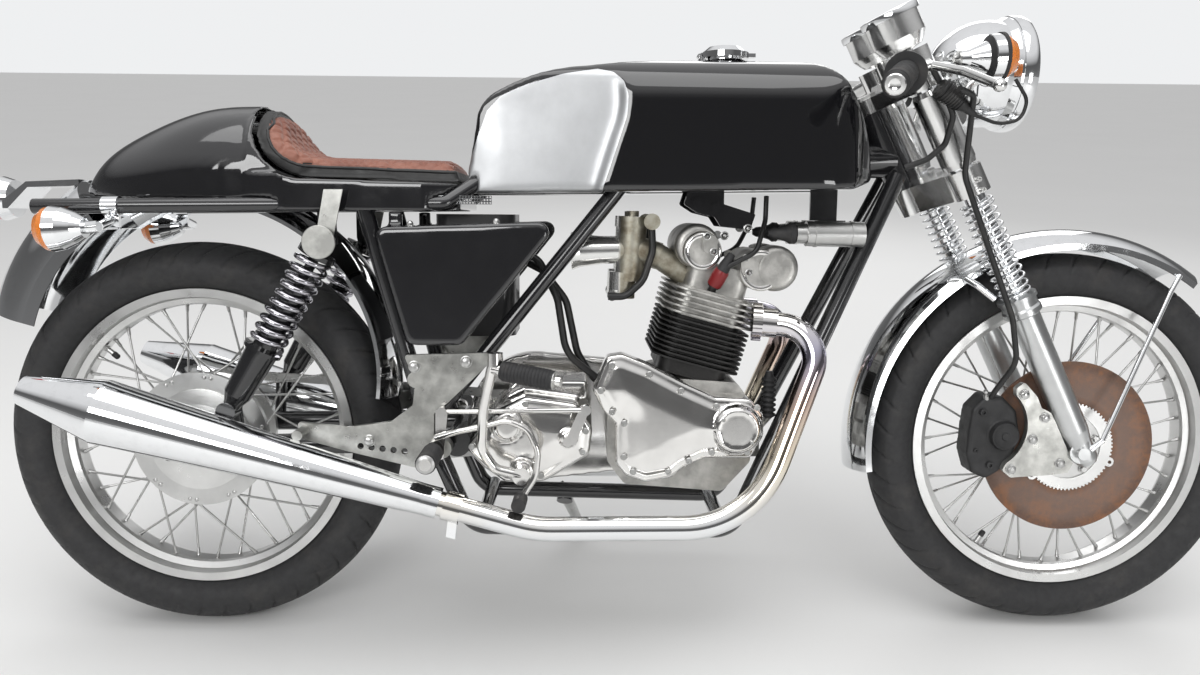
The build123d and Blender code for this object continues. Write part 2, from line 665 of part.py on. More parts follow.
with BuildPart() as rear_indicators:
    for side in (-1, 1):
        y = 165 * side
        add(turned((-104, y, 672), (-150, y, 670), [(0, 0), (0, 15), (12, 23), (30, 31), (46, 34), (46, 0)]))
        add(rod((-104, y, 672), (-84, y, 674), 9))
        add(rod((-84, y, 674), (-84, 121 * side, 684), 7))
        add(rod((-96, 122 * side, 704.5), (-72, 122 * side, 704.9), 14.5))
        add(plate([(-94, 672), (-74, 672), (-74, 700), (-94, 700)], min(118 * side, 126 * side),
                  max(118 * side, 126 * side)))
pieces["rear_indicators"] = rear_indicators.part - pieces["seat_rails"]
with BuildPart() as rear_lenses:
    for side in (-1, 1):
        y = 165 * side
        add(turned((-150, y, 670), (-178, y, 668.8), [(0, 0), (0, 33), (8, 32), (18, 25), (25, 12), (27, 0)]))
pieces["rear_indicator_lenses"] = rear_lenses.part

# Crankcase, gearbox and covers
def cover(points, back, front, corner, edge):
    """Cast cover in side view, from y at its back to y at its face, with a rounded face edge."""
    with BuildPart() as made:
        add(plate(points, min(back, front), max(back, front), corner))
        face = made.faces().sort_by(Axis.Y)[0 if front < back else -1]
        fillet(face.edges(), edge)
    return made.part


with BuildPart() as crankcase:
    add(plate([(672, 300), (700, 262), (860, 250), (905, 300), (905, 396), (880, 430), (756, 438), (690, 420),
               (672, 390)], -92, 96, 14))
    add(plate([(880, 300), (925, 300), (925, 340), (880, 360)], -60, 60, 6))
pieces["crankcase"] = crankcase.part
TIMING_FACE = -132.0
POINTS = (875, 362)
with BuildPart() as timing_cover:
    add(cover([(669, 477), (647, 424), (663, 391), (684, 370), (684, 305), (700, 285), (732, 274), (773, 282),
               (793, 299), (826, 314), (899, 314), (919, 350), (918, 384), (897, 410), (840, 413), (787, 437),
               (734, 465), (693, 481)], -92.5, TIMING_FACE, 6, 5))
    add(disc(*POINTS, TIMING_FACE, TIMING_FACE - 6, 38))
    add(disc(*POINTS, TIMING_FACE - 6, TIMING_FACE - 11, 33, 30))
    add(disc(*POINTS, TIMING_FACE - 6, TIMING_FACE - 9, 26))
pieces["timing_cover"] = timing_cover.part
GEARBOX_FACE = -118.0
with BuildPart() as gearbox:
    add(cover([(444, 326), (475, 293), (509, 270), (571, 271), (643, 316), (648, 359), (623, 399), (539, 410),
               (491, 386)], 58, GEARBOX_FACE, 16, 7))
    add(plate([(500, 395), (640, 395), (640, 425), (520, 425)], -60, 40, 6))
    add(disc(512, 362, GEARBOX_FACE, GEARBOX_FACE - 5, 23))
    add(disc(512, 362, GEARBOX_FACE - 5, GEARBOX_FACE - 8, 18))
    add(disc(537, 293, GEARBOX_FACE, GEARBOX_FACE - 14, 18))
    add(disc(609, 345, GEARBOX_FACE, GEARBOX_FACE - 8, 14))
pieces["gearbox"] = gearbox.part - pieces["swingarm"]
with BuildPart() as primary:
    with BuildSketch(Plane.XZ.offset(-142)):
        with Locations((545, 330)):
            Circle(118)
        with Locations((835, 335)):
            Circle(88)
        with BuildLine():
            Polyline((545, 448), (835, 423), (835, 247), (545, 212), close=True)
        make_face()
    extrude(amount=45)
    fillet(primary.faces().sort_by(Axis.Y)[-1].edges(), 12)
    add(disc(835, 335, 142, 147, 40))
    add(disc(545, 330, 142, 146, 30))
pieces["primary_cover"] = primary.part

# Barrel and head
TILT = 15.0
BARREL_FOOT = (806, 0, 436)
engine = Plane(origin=BARREL_FOOT, x_dir=(cos(radians(TILT)), 0, -sin(radians(TILT))),
               z_dir=(sin(radians(TILT)), 0, cos(radians(TILT))))
FINS = 9
FIN_PITCH = 8.0
BARREL_TOP = 96.0
with BuildPart() as barrel:
    with BuildSketch(engine):
        RectangleRounded(112, 176, 20)
    extrude(amount=BARREL_TOP)
    for i in range(FINS):
        with BuildSketch(engine.offset(24 + i * FIN_PITCH)):
            RectangleRounded(146, 214, 34)
        extrude(amount=2.8)
pieces["barrel"] = barrel.part - pieces["crankcase"] - pieces["timing_cover"]
HEAD_FINS = 5
HEAD_PITCH = 9.4
ROCKER_BLOCK = (104, 150, 44)
ROCKER_REAR = (814, 648)
ROCKER_FRONT = (940, 613)
with BuildPart() as head:
    with BuildSketch(engine.offset(BARREL_TOP)):
        RectangleRounded(118, 180, 24)
    extrude(amount=HEAD_FINS * HEAD_PITCH)
    for i in range(HEAD_FINS):
        with BuildSketch(engine.offset(BARREL_TOP + 3 + i * HEAD_PITCH)):
            RectangleRounded(150, 216, 34)
        extrude(amount=3.0)
    with BuildSketch(engine.offset(BARREL_TOP + HEAD_FINS * HEAD_PITCH)):
        RectangleRounded(ROCKER_BLOCK[0], ROCKER_BLOCK[1], 20)
    extrude(amount=ROCKER_BLOCK[2])
    for x, z, r in ((822, 640, 30), (915, 610, 33)):
        add(disc(x, z, -82, 82, r))
    for y in (-1, 1):
        add(plate([(820, 672), (846, 660), (840, 632), (822, 640)], min(82 * y, 88 * y), max(82 * y, 88 * y), 8))
        add(plate([(880, 640), (904, 632), (902, 598), (884, 606)], min(82 * y, 88 * y), max(82 * y, 88 * y), 8))
pieces["cylinder_head"] = head.part - pieces["barrel"]
with BuildPart() as rockers:
    add(disc(*ROCKER_REAR, -78, 78, 36))
    fillet(rockers.edges().filter_by(GeomType.CIRCLE), 12)
    add(pieces["cylinder_head"], mode=Mode.SUBTRACT)
with BuildPart() as front_rockers:
    for y in (-1, 1):
        add(disc(*ROCKER_FRONT, 22 * y, 84 * y, 37))
    fillet(front_rockers.edges().filter_by(GeomType.CIRCLE), 12)
    add(pieces["cylinder_head"], mode=Mode.SUBTRACT)
pieces["rocker_covers"] = rockers.part + front_rockers.part
PLUG_CAP = (852, 98, 612)
with BuildPart() as plugs:
    for y in (-1, 1):
        add(rod((832, 70 * y, 560), (840, 88 * y, 588), 7))
        add(rod((839, 86 * y, 585), (PLUG_CAP[0], PLUG_CAP[1] * y, PLUG_CAP[2]), 10))
        add(pipe([(848, 97 * y, 604), (862, 103 * y, 619), (905, 96 * y, 640), (924, 62 * y, 690), (926, 54 * y, 728)],
                 [8, 30, 30], 4))
LEADS = plugs.part - pieces["cylinder_head"] - pieces["rocker_covers"] - pieces["barrel"]

# Carburettors
with BuildPart() as carbs:
    for y in (-1, 1):
        body = CARB_Y * y
        add(rod((706, body, 590), (711, body, 676), 24))
        add(rod((711, body, 676), (712, body, 694), 26))
        add(rod((712, body, 694), (712, body, 703), 10))
        add(rod((694, body, 562), (696, body, 604), 22))
        add(turned((700, body, 640), (611, body, 637), [(0, 0), (0, 21), (40, 22), (74, 26), (86, 30), (88, 30),
                                                        (88, 28), (76, 24), (40, 19), (30, 0)]))
        add(rod((720, body, 640), (756, body, 630), 22))
        add(rod((752, body, 632), (800, body, 600), 20))
        add(disc(741, 686, (CARB_Y + 6) * y, (CARB_Y + 34) * y, 9))
        add(disc(741, 686, (CARB_Y + 30) * y, (CARB_Y + 38) * y, 13))
        add(rod((712, body, 676), (741, body + 8 * y, 686), 7))
        add(rod((694, body, 567), (678, body + 22 * y, 567), 9))
pieces["carburettors"] = carbs.part - pieces["cylinder_head"] - pieces["rocker_covers"]
with BuildPart() as hoses:
    for y in (-1, 1):
        far = (CARB_Y + 26) * y
        add(pipe([(741, far, 674), (743, far + 2 * y, 640), (728, far + 4 * y, 592), (700, far, 566), (672, far, 566)],
                 [40, 40, 24], 6))
    add(pipe([(522, -36, 642), (560, -42, 622), (590, -46, 560), (604, -50, 470), (684, -46, 406)],
             [30, 60, 60], 6))
    add(pipe([(522, -14, 626), (566, -24, 604), (604, -30, 556), (622, -34, 470), (650, -34, 424), (684, -30, 408)],
             [30, 50, 60, 50], 6))
    add(LEADS)
pieces["hoses"] = hoses.part - pieces["carburettors"] - pieces["crankcase"]
with BuildPart() as oil_tank:
    with BuildSketch(Plane.XY.offset(500)):
        with Locations((458, 0)):
            RectangleRounded(128, 130, 24)
    extrude(amount=196)
pieces["oil_tank"] = oil_tank.part - pieces["frame_spine"] - pieces["frame_uprights"] - pieces["hoses"]

# Exhaust
with BuildPart() as roses:
    for y in (-1, 1):
        with BuildSketch(Plane(origin=(901, 92.9 * y, 529.6), z_dir=(1, 0.1 * y, -0.05))):
            Circle(27)
            with PolarLocations(28, 18):
                Rectangle(5, 4)
        extrude(amount=15)
        add(rod((914, 93 * y, 529), (940, 97 * y, 527), 23))
with BuildPart() as header_right:
    inlet, tail = silencer_line(-1)
    ahead = unit(tuple(a - b for a, b in zip(inlet, tail)))
    add(pipe([(931, -98, 527), (1016, -122, 521), (898, -172, 216), beyond(inlet, ahead, 168), inlet],
             [56, 160, 200], PIPE_R))
    add(rod(beyond(inlet, ahead, 24), beyond(inlet, ahead, 50), PIPE_R + 4))
    add(plate([(428, 242), (424, 207), (438, 203), (442, 238)], -190, -174))
HEADER = header_right.part - pieces["cylinder_head"] - pieces["barrel"]
pieces["exhaust_pipes"] = HEADER + mirrored(HEADER) + (roses.part - pieces["cylinder_head"] - pieces["barrel"])
with BuildPart() as silencer:
    inlet, tail = silencer_line(-1)
    length = span(inlet, tail)
    add(turned(inlet, tail, [(-16, PIPE_R + 0.1), (-16, PIPE_R + 5), (10, PIPE_R + 5), (12, 24), (50, 26),
                             (length - 132, 48), (length - 118, 49), (length - 108, 47),
                             (length, OUTLET_R + 3), (length, OUTLET_R), (length - OUTLET_DEPTH, OUTLET_R),
                             (length - OUTLET_DEPTH, 0), (6, 0), (6, PIPE_R + 0.1)]))
pieces["silencers"] = both(silencer.part)

# Tank, seat, side panels
TANK_HALF = 126.0
HINGE_X = CAP_HINGE[0]
HINGE_Z = CAP_HINGE[2]
LUG_IN = 6.3
LUG_OUT = 12.0
KNEE_DEPTH = 13.0
KNEE_BAND = 18.0
with BuildPart() as tank:
    with BuildSketch(Plane.XZ.offset(-TANK_HALF)) as side:
        with BuildLine():
            Polyline((447, 728), (1052, 738), (1092, 752))
            ThreePointArc((1092, 752), (1072, 838), (1030, 908))
            ThreePointArc((1030, 908), (1002, 929), (962, 936))
            ThreePointArc((962, 936), (800, 940), (640, 924))
            ThreePointArc((640, 924), (560, 909), (502, 884))
            ThreePointArc((502, 884), (476, 862), (466, 828))
            Line((466, 828), (447, 728))
        make_face()
    extrude(amount=2 * TANK_HALF)
    with BuildSketch(Plane.XY.offset(700)) as plan:
        with BuildLine():
            Polyline((440, -108), (440, 108), (640, TANK_HALF - 2), (1000, TANK_HALF - 2))
            ThreePointArc((1000, TANK_HALF - 2), (1064, 100), (1100, 0))
            ThreePointArc((1100, 0), (1064, -100), (1000, 2 - TANK_HALF))
            Polyline((1000, 2 - TANK_HALF), (640, 2 - TANK_HALF), (440, -108))
        make_face()
    extrude(amount=260, mode=Mode.INTERSECT)
    for y in (-1, 1):
        with BuildSketch(Plane.YZ.offset(440)) as shoulder:
            with BuildLine():
                Polyline((46 * y, 1000), (46 * y, 941), (82 * y, 932))
                ThreePointArc((82 * y, 932), (113 * y, 908), (TANK_HALF * y, 866))
                Polyline((TANK_HALF * y, 866), (TANK_HALF * y, 862), (200 * y, 862), (200 * y, 1000), (46 * y, 1000))
            make_face()
        extrude(amount=700, mode=Mode.SUBTRACT)
        with BuildSketch(Plane.XZ.offset(-(TANK_HALF + 2) * y)) as knee:
            with BuildLine():
                Polyline((420, 700), (420, 960), (640, 960), (692, 926))
                ThreePointArc((692, 926), (702, 868), (690, 816))
                Polyline((690, 816), (658, 716), (652, 700), (420, 700))
            make_face()
        extrude(amount=(KNEE_DEPTH + 2) * y, taper=50, mode=Mode.SUBTRACT)
    with Locations((760, 0, 776)):
        Box(800, 84, 124, mode=Mode.SUBTRACT)
    with Locations((FILLER[0], 0, 938)):
        Cylinder(36, 12, align=(Align.CENTER, Align.CENTER, Align.MIN))
        Cylinder(31, 24, align=(Align.CENTER, Align.CENTER, Align.MIN), mode=Mode.SUBTRACT)
    for y in (-1, 1):
        add(plate([(HINGE_X - 4, 928), (HINGE_X + 4, 928), (HINGE_X + 4, HINGE_Z), (HINGE_X - 4, HINGE_Z)],
                  min(LUG_IN * y, LUG_OUT * y), max(LUG_IN * y, LUG_OUT * y)))
        add(disc(HINGE_X, HINGE_Z, LUG_IN * y, LUG_OUT * y, 4))
    add(disc(HINGE_X, HINGE_Z, -LUG_OUT, LUG_OUT, 2))
pieces["fuel_tank"] = tank.part - pieces["frame_uprights"] - pieces["frame_spine"] - pieces["seat_rails"]
with BuildPart() as cap:
    with Locations((FILLER[0], 0, 950.3)):
        Cylinder(39, 9, align=(Align.CENTER, Align.CENTER, Align.MIN))
    with Locations((FILLER[0], 0, 959.3)):
        Cone(37, 26, 9, align=(Align.CENTER, Align.CENTER, Align.MIN))
    with Locations((FILLER[0] + 42, 0, 956)):
        Box(16, 12, 6)
    with Locations((FILLER[0], 0, 945.3)):
        Cylinder(28, 5, align=(Align.CENTER, Align.CENTER, Align.MIN))
    for y in (-1, 1):
        with Locations((HINGE_X, (LUG_IN + LUG_OUT) / 2 * y, 955)):
            Box(16, LUG_OUT - LUG_IN + 1, 20, mode=Mode.SUBTRACT)
    add(disc(HINGE_X, HINGE_Z, -LUG_IN + 0.3, LUG_IN - 0.3, 4))
    add(disc(HINGE_X, HINGE_Z, -LUG_OUT, LUG_OUT, 2.05), mode=Mode.SUBTRACT)
pieces["filler_cap"] = cap.part

SHELL = 4.0
HUMP = (
    # x, half width, base, shoulder, crown
    (-166, 34, 724, 730, 744),
    (-140, 58, 719, 736, 780),
    (-90, 84, 716, 744, 814),
    (-20, 102, 716, 754, 846),
    (50, 112, 716, 762, 864),
    (124, 117, 716, 768, 868),
)


def hump(inset):
    """Tail of the seat shell, lofted through its arched sections."""
    with BuildPart() as made:
        for x, half, base, shoulder, crown in HUMP:
            w = half - inset
            with BuildSketch(Plane.YZ.offset(x + (inset if x < 0 else 0))):
                with BuildLine():
                    Polyline((-w, shoulder), (-w, base - 3 * inset), (w, base - 3 * inset), (w, shoulder))
                    ThreePointArc((w, shoulder), (0, crown - inset), (-w, shoulder))
                make_face()
        loft()
    return made.part


def tray(inset):
    """Seat shell's flat part, in plan, from the hump to the tank."""
    with BuildPart() as made:
        with BuildSketch(Plane.XY.offset(700)):
            with BuildLine():
                Polyline((112 + inset, 117 - inset), (180, 138 - inset), (390, 138 - inset), (442 - inset, 112 - inset),
                         (442 - inset, inset - 112), (390, inset - 138), (180, inset - 138), (112 + inset, inset - 117),
                         close=True)
            make_face()
        extrude(amount=56 - inset)
    return made.part


with BuildPart() as seat:
    add(tray(0))
    with Locations((190, 0, 706)):
        Box(480, 226, 76, mode=Mode.SUBTRACT)
    with Locations((185, 0, 699)):
        Box(470, 236, 14, mode=Mode.SUBTRACT)
    with Locations((297, 121, 704), (297, -121, 704)):
        Box(44, 25, 16, mode=Mode.SUBTRACT)
    add(hump(0) - hump(SHELL))
    with BuildSketch(Plane.XZ.offset(-200)):
        with BuildLine():
            Polyline((118, 900), (118, 842))
            ThreePointArc((118, 842), (140, 778), (200, 748))
            Polyline((200, 748), (450, 742), (450, 900), (118, 900))
        make_face()
    extrude(amount=400, mode=Mode.SUBTRACT)
pieces["seat_unit"] = (seat.part - pieces["seat_rails"] - pieces["frame_uprights"] - pieces["frame_spine"]
                       - pieces["rear_mudguard"] - pieces["fuel_tank"])
PAD_HALF = 108.0
with BuildPart() as pad:
    with BuildSketch(Plane.XZ.offset(-PAD_HALF)) as side:
        with BuildLine():
            Polyline((122, 868), (122.5, 846))
            ThreePointArc((122.5, 846), (143, 780), (202, 748.5))
            Polyline((202, 748.5), (440, 742.5), (446, 752), (440, 768))
            Line((440, 768), (230, 772))
            ThreePointArc((230, 772), (184, 790), (158, 834))
            Polyline((158, 834), (144, 866), (122, 868))
        make_face()
    extrude(amount=2 * PAD_HALF)
    with BuildSketch(Plane.YZ.offset(100)) as arch:
        with BuildLine():
            Polyline((-PAD_HALF, 790), (-PAD_HALF, 720), (PAD_HALF, 720), (PAD_HALF, 790))
            ThreePointArc((PAD_HALF, 790), (0, 866), (-PAD_HALF, 790))
        make_face()
    extrude(amount=400, mode=Mode.INTERSECT)
pieces["seat_pad"] = pad.part - pieces["fuel_tank"]

with BuildPart() as side_panels:
    for y in (-1, 1):
        add(cover([(314, 676), (598, 686), (446, 496), (364, 496)], 134 * y, 152 * y, 16, 6))
        add(disc(346, 600, 112 * y, 134 * y, 10))
        add(plate([(336, 668), (356, 668), (356, 699), (336, 699)], min(124 * y, 136 * y), max(124 * y, 136 * y)))
pieces["side_panels"] = side_panels.part - pieces["frame_uprights"] - pieces["seat_rails"]

# Alloy plates that carry the footrests and hang the silencers
PLATE_IN = 132.0
PLATE_OUT = 140.0
PEG = (402.0, 332.0)
HANGER = (199.0, 361.0)
with BuildPart() as right_plate:
    add(plate([(356, 480), (488, 484), (484, 464), (422, 405), (401, 388), (400, 350), (416, 318), (370, 302),
               (264, 328), (190, 349), (190, 374), (266, 366), (334, 375), (368, 401), (373, 438)],
              -PLATE_OUT, -PLATE_IN, 4))
    add(disc(PIVOT[0] - 58, 440, -PLATE_IN, -118, 13))
    add(disc(PIVOT[0] - 20, PIVOT[1], -PLATE_IN, -110, 16))
    add(disc(HANGER[0], HANGER[1], -176, -PLATE_OUT, 8))
    for x, z in ((372, 462), (452, 470), (300, 345)):
        add(disc(x, z, -PLATE_OUT - 4, -PLATE_OUT, 8))
    for i in range(5):
        add(disc(286 + 17 * i, 336 - 2 * i, -PLATE_OUT - 1, -PLATE_IN + 1, 5), mode=Mode.SUBTRACT)
RIGHT_PLATE = (right_plate.part - pieces["silencers"] - pieces["frame_uprights"] - pieces["frame_lower_loop"]
               - pieces["swingarm"])
pieces["cradle_plates"] = RIGHT_PLATE + mirrored(RIGHT_PLATE) + pieces.pop("shock_straps")

# Footrests, gear linkage, brake pedal, kickstart
KICK = (537.0, 293.0)
with BuildPart() as foot_controls:
    for side in (-1, 1):
        add(rod((PEG[0], PLATE_OUT * side, PEG[1]), (PEG[0], 236 * side, PEG[1]), 9))
        add(disc(*PEG, PLATE_OUT * side, 152 * side, 14))
    add(rod((415, -149, 393), (637, -147, 396), 4))
    add(disc(415, 393, -155, -143, 8))
    add(disc(637, 396, -152, -141, 8))
    add(plate([(405, 396), (424, 396), (416, 318), (404, 318)], -152, -146, 3))
    add(plate([(629, 402), (645, 402), (620, 338), (604, 344)], -146, -140, 3))
    add(disc(609, 345, -146, GEARBOX_FACE - 8, 8))
    add(pipe([(404, -151, 352), (440, -156, 364), (470, -160, 371), (516, -164, 384), (548, -166, 370),
              (564, -168, 336), (560, -168, 296), (538, -169, 262)], [30, 60, 40, 30, 34, 40], 5))
    add(rod((538, -164, 262), (536, -204, 262), 6))
    add(pipe([(404, 149, 340), (440, 154, 320), (500, 158, 292), (560, 160, 268)], [40, 60], 6))
    add(disc(404, 340, PLATE_OUT, 156, 12))
    add(rod((560, 156, 268), (560, 204, 268), 6))
pieces["foot_controls"] = foot_controls.part - pieces["cradle_plates"] - pieces["gearbox"]
with BuildPart() as kickstart:
    add(disc(*KICK, GEARBOX_FACE - 14.2, -160, 14))
    add(pipe([(KICK[0], -152, KICK[1]), (496, -156, 304), (476, -160, 336), (480, -168, 400), (499, -178, 486)],
             [22, 50, 110], 8))
    add(rod((500, -180, 470), (500, -180, 490), 12))
    add(rod((497, -182, 466), (600, -216, 453), 8))
pieces["foot_controls"] = pieces["foot_controls"] + kickstart.part
with BuildPart() as pedal_rubbers:
    for side in (-1, 1):
        add(rod((PEG[0], 160 * side, PEG[1]), (PEG[0], 232 * side, PEG[1]), 14))
    add(rod((511, -187, 464), (590, -213, 454), 14))
    add(rod((537, -172, 262), (536, -210, 262), 11))
    add(rod((560, 166, 268), (560, 210, 268), 11))
pieces["pedal_rubbers"] = pedal_rubbers.part - pieces["foot_controls"]

# Drive chain, left
GEAR_SPROCKET = (545.0, 330.0)
CHAIN_Y = SPROCKET_Y + SPROCKET_WIDE / 2 - CHAIN_WIDE / 2
with BuildPart() as chain:
    for grow, how in ((14, Mode.ADD), (1, Mode.SUBTRACT)):
        with BuildSketch(Plane(origin=(0, CHAIN_Y, 0), x_dir=(1, 0, 0), z_dir=(0, 1, 0))) as loop:
            with Locations((0, -REAR_R)):
                Circle(SPROCKET_R + grow)
            with Locations((GEAR_SPROCKET[0], -GEAR_SPROCKET[1])):
                Circle(GEAR_SPROCKET_R + grow)
            make_hull()
        extrude(amount=CHAIN_WIDE, mode=how)
pieces["drive_chain"] = chain.part
with BuildPart() as gear_sprocket:
    add(disc(*GEAR_SPROCKET, SPROCKET_Y, SPROCKET_Y + SPROCKET_WIDE, GEAR_SPROCKET_R))
    add(disc(*GEAR_SPROCKET, 56, 97, 22))
pieces["gearbox"] = pieces["gearbox"] + gear_sprocket.part

# Head steady and coils under the tank
with BuildPart() as steady:
    for y in (-1, 1):
        add(plate([(795, 716), (802, 738), (802, 768), (860, 768), (860, 715), (912, 699), (904, 674), (855, 679),
                   (845, 694), (816, 701), (797, 713)], min(36 * y, 40 * y), max(36 * y, 40 * y), 2))
        add(disc(817, 718, 36 * y, 46 * y, 8))
        add(disc(847, 709, 36 * y, 46 * y, 8))
    add(plate([(806, 755), (856, 755), (856, 768), (806, 768)], -40, 40))
    add(disc(880, 684, -40, 40, 7))
    add(plate([(1010, 684), (1055, 684), (1055, 690), (1010, 690)], -56, 56))
    add(plate([(1010, 684), (1055, 684), (1055, 770), (1010, 770)], -3, 3))
    add(pieces["cylinder_head"], mode=Mode.SUBTRACT)
    add(pieces["rocker_covers"], mode=Mode.SUBTRACT)
with BuildPart() as coils:
    for y in (-70, 70):
        add(turned((958, y, 669), (1086, y, 668), [(0, 0), (0, 7), (12, 9), (14, 15), (30, 16), (30, 20), (122, 20),
                                                   (122, 0)]))
pieces["ignition_coils"] = coils.part
STEADY = steady.part - coils.part - pieces["frame_spine"]
pieces["frame_spine"] = pieces["frame_spine"] + STEADY

# Hoses and cables that the fork carries
with BuildPart() as cables:
    add(pipe([(1166, -212, 878), (1196, -190, 872), (1210, -150, 830), (1214, -130, 760), (1262, -130, 640),
              (1304, -128, 540), (1318, -122, 470), (1300, -92, 418), (1296, -80, 398)], [20, 30, 50, 90, 90, 50, 30], 4.5))
    for y in (-1, 1):
        add(pipe([(1143, 160 * y, 916), (1164, 158 * y, 884), (1184, 150 * y, 846), (1180, 134 * y, 806),
                  (1158, 122 * y, 784), (1128, 112 * y, 772)], [12, 24, 20, 20], 4.5))
    add(turned((1150, -176, 886), (1206, -172, 846), [(0, 0), (0, 13), (16, 15), (44, 11), (56, 6), (69, 4), (69, 0)]))
    add(pipe([(1206, -172, 846), (1240, -178, 832), (1270, -184, 838), (1276, -188, 866), (1258, -184, 896)],
             [40, 20, 24], 2.6))
pieces["control_cables"] = (cables.part - pieces["levers"] - pieces["clip_on_bars"] - pieces["brake_caliper"]
                            - pieces["front_indicators"] - pieces["grips"])

# Side stand, left
with BuildPart() as stand:
    add(rod(beyond(STAND_PIVOT, STAND_DOWN, 20), STAND_TIP, 11, 9))
    add(rod(beyond(STAND_PIVOT, STAND_DOWN, 10), beyond(STAND_PIVOT, STAND_DOWN, 24), 8))
    add(rod(beyond(STAND_PIVOT, STAND_AXIS, -8.2), beyond(STAND_PIVOT, STAND_AXIS, 8.2), 15))
    add(rod(floor_point(STAND_FOOT[0], STAND_FOOT[1], 0), floor_point(STAND_FOOT[0], STAND_FOOT[1], 6), 18))
    add(rod(beyond(STAND_PIVOT, STAND_AXIS, -20), beyond(STAND_PIVOT, STAND_AXIS, 20), 8.05), mode=Mode.SUBTRACT)
pieces["side_stand"] = stand.part

# Pieces that one casting or weldment makes, or that come in pairs
JOINED = (
    # node, members
    ("front_hub", ("front_hub", "disc_carrier")),
    ("rear_hub", ("rear_hub", "rear_sprocket")),
    ("fork_yokes", ("bottom_yoke", "top_yoke")),
    ("headlamp_brackets", ("fork_sleeves", "headlamp_ears")),
    ("front_mudguard", ("front_mudguard", "mudguard_stays")),
    ("frame_rear_loop", ("frame_uprights", "seat_rails")),
)
for name, members in JOINED:
    whole = pieces.pop(members[0])
    for member in members[1:]:
        whole = whole + pieces.pop(member)
    pieces[name] = whole

stance = Pos(-MIDDLE_X, -MIDDLE_Y, LIFT) * Rot(-LEAN, 0, 0)
for name, shape in pieces.items():
    leaned = stance * shape
    leaned.label = name
    export_step(leaned, "parts/" + name + ".step")
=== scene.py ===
"""Finish, soft parts, trim, light and camera for the cafe racer motorcycle.

Pieces are drawn upright in the machine's own frame, in millimetres, as in the construction: X
forward from the rear axle, Y to the rider's left, Z up from the floor line. STANCE then leans them
onto the side stand and turns them into metres.
"""

import json
import math

import bmesh
import bpy
from mathutils import Matrix, Vector
from mathutils.bvhtree import BVHTree


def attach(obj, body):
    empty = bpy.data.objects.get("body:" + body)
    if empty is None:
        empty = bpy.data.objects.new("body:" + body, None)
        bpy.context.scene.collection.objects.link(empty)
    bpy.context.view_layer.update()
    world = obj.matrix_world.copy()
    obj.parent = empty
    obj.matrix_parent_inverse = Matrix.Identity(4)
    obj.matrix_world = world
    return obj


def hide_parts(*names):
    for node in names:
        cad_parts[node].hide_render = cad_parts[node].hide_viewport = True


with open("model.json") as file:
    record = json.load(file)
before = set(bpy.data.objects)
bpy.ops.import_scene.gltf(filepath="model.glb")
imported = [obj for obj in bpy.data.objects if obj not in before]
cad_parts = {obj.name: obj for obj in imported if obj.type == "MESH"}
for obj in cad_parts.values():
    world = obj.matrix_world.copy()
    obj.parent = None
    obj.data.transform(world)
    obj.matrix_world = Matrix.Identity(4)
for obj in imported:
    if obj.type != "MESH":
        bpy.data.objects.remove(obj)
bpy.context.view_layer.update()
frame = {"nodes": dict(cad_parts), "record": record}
NODES = frame["nodes"]
BODY_OF = {n: b for b, ns in frame["record"]["behaviour"]["bodies"].items() for n in ns}

# Stance of the parked machine
LEAN = 10.0
CROWN = 62.0
MIDDLE = (707.0, 151.5)
LIFT = CROWN * (1 - math.cos(math.radians(LEAN)))
STANCE = (Matrix.Translation((-MIDDLE[0] / 1000, -MIDDLE[1] / 1000, LIFT / 1000))
          @ Matrix.Rotation(math.radians(-LEAN), 4, "X") @ Matrix.Scale(0.001, 4))

# Places that the construction also uses
WHEELBASE = 1441.0
REAR_R = 323.7
FRONT_R = 319.0
RAKE = math.radians(26.5)
UP = Vector((-math.sin(RAKE), 0, math.cos(RAKE)))
AHEAD = Vector((math.cos(RAKE), 0, math.sin(RAKE)))
LEG_FOOT = Vector((WHEELBASE + 8, 0, FRONT_R))


def leg(height, y=0.0, ahead=0.0):
    """Point beside a fork leg's axis, at a height over the floor line."""
    p = LEG_FOOT + UP * ((height - FRONT_R) / UP.z) + AHEAD * ahead
    return Vector((p.x, y, p.z))


# Materials


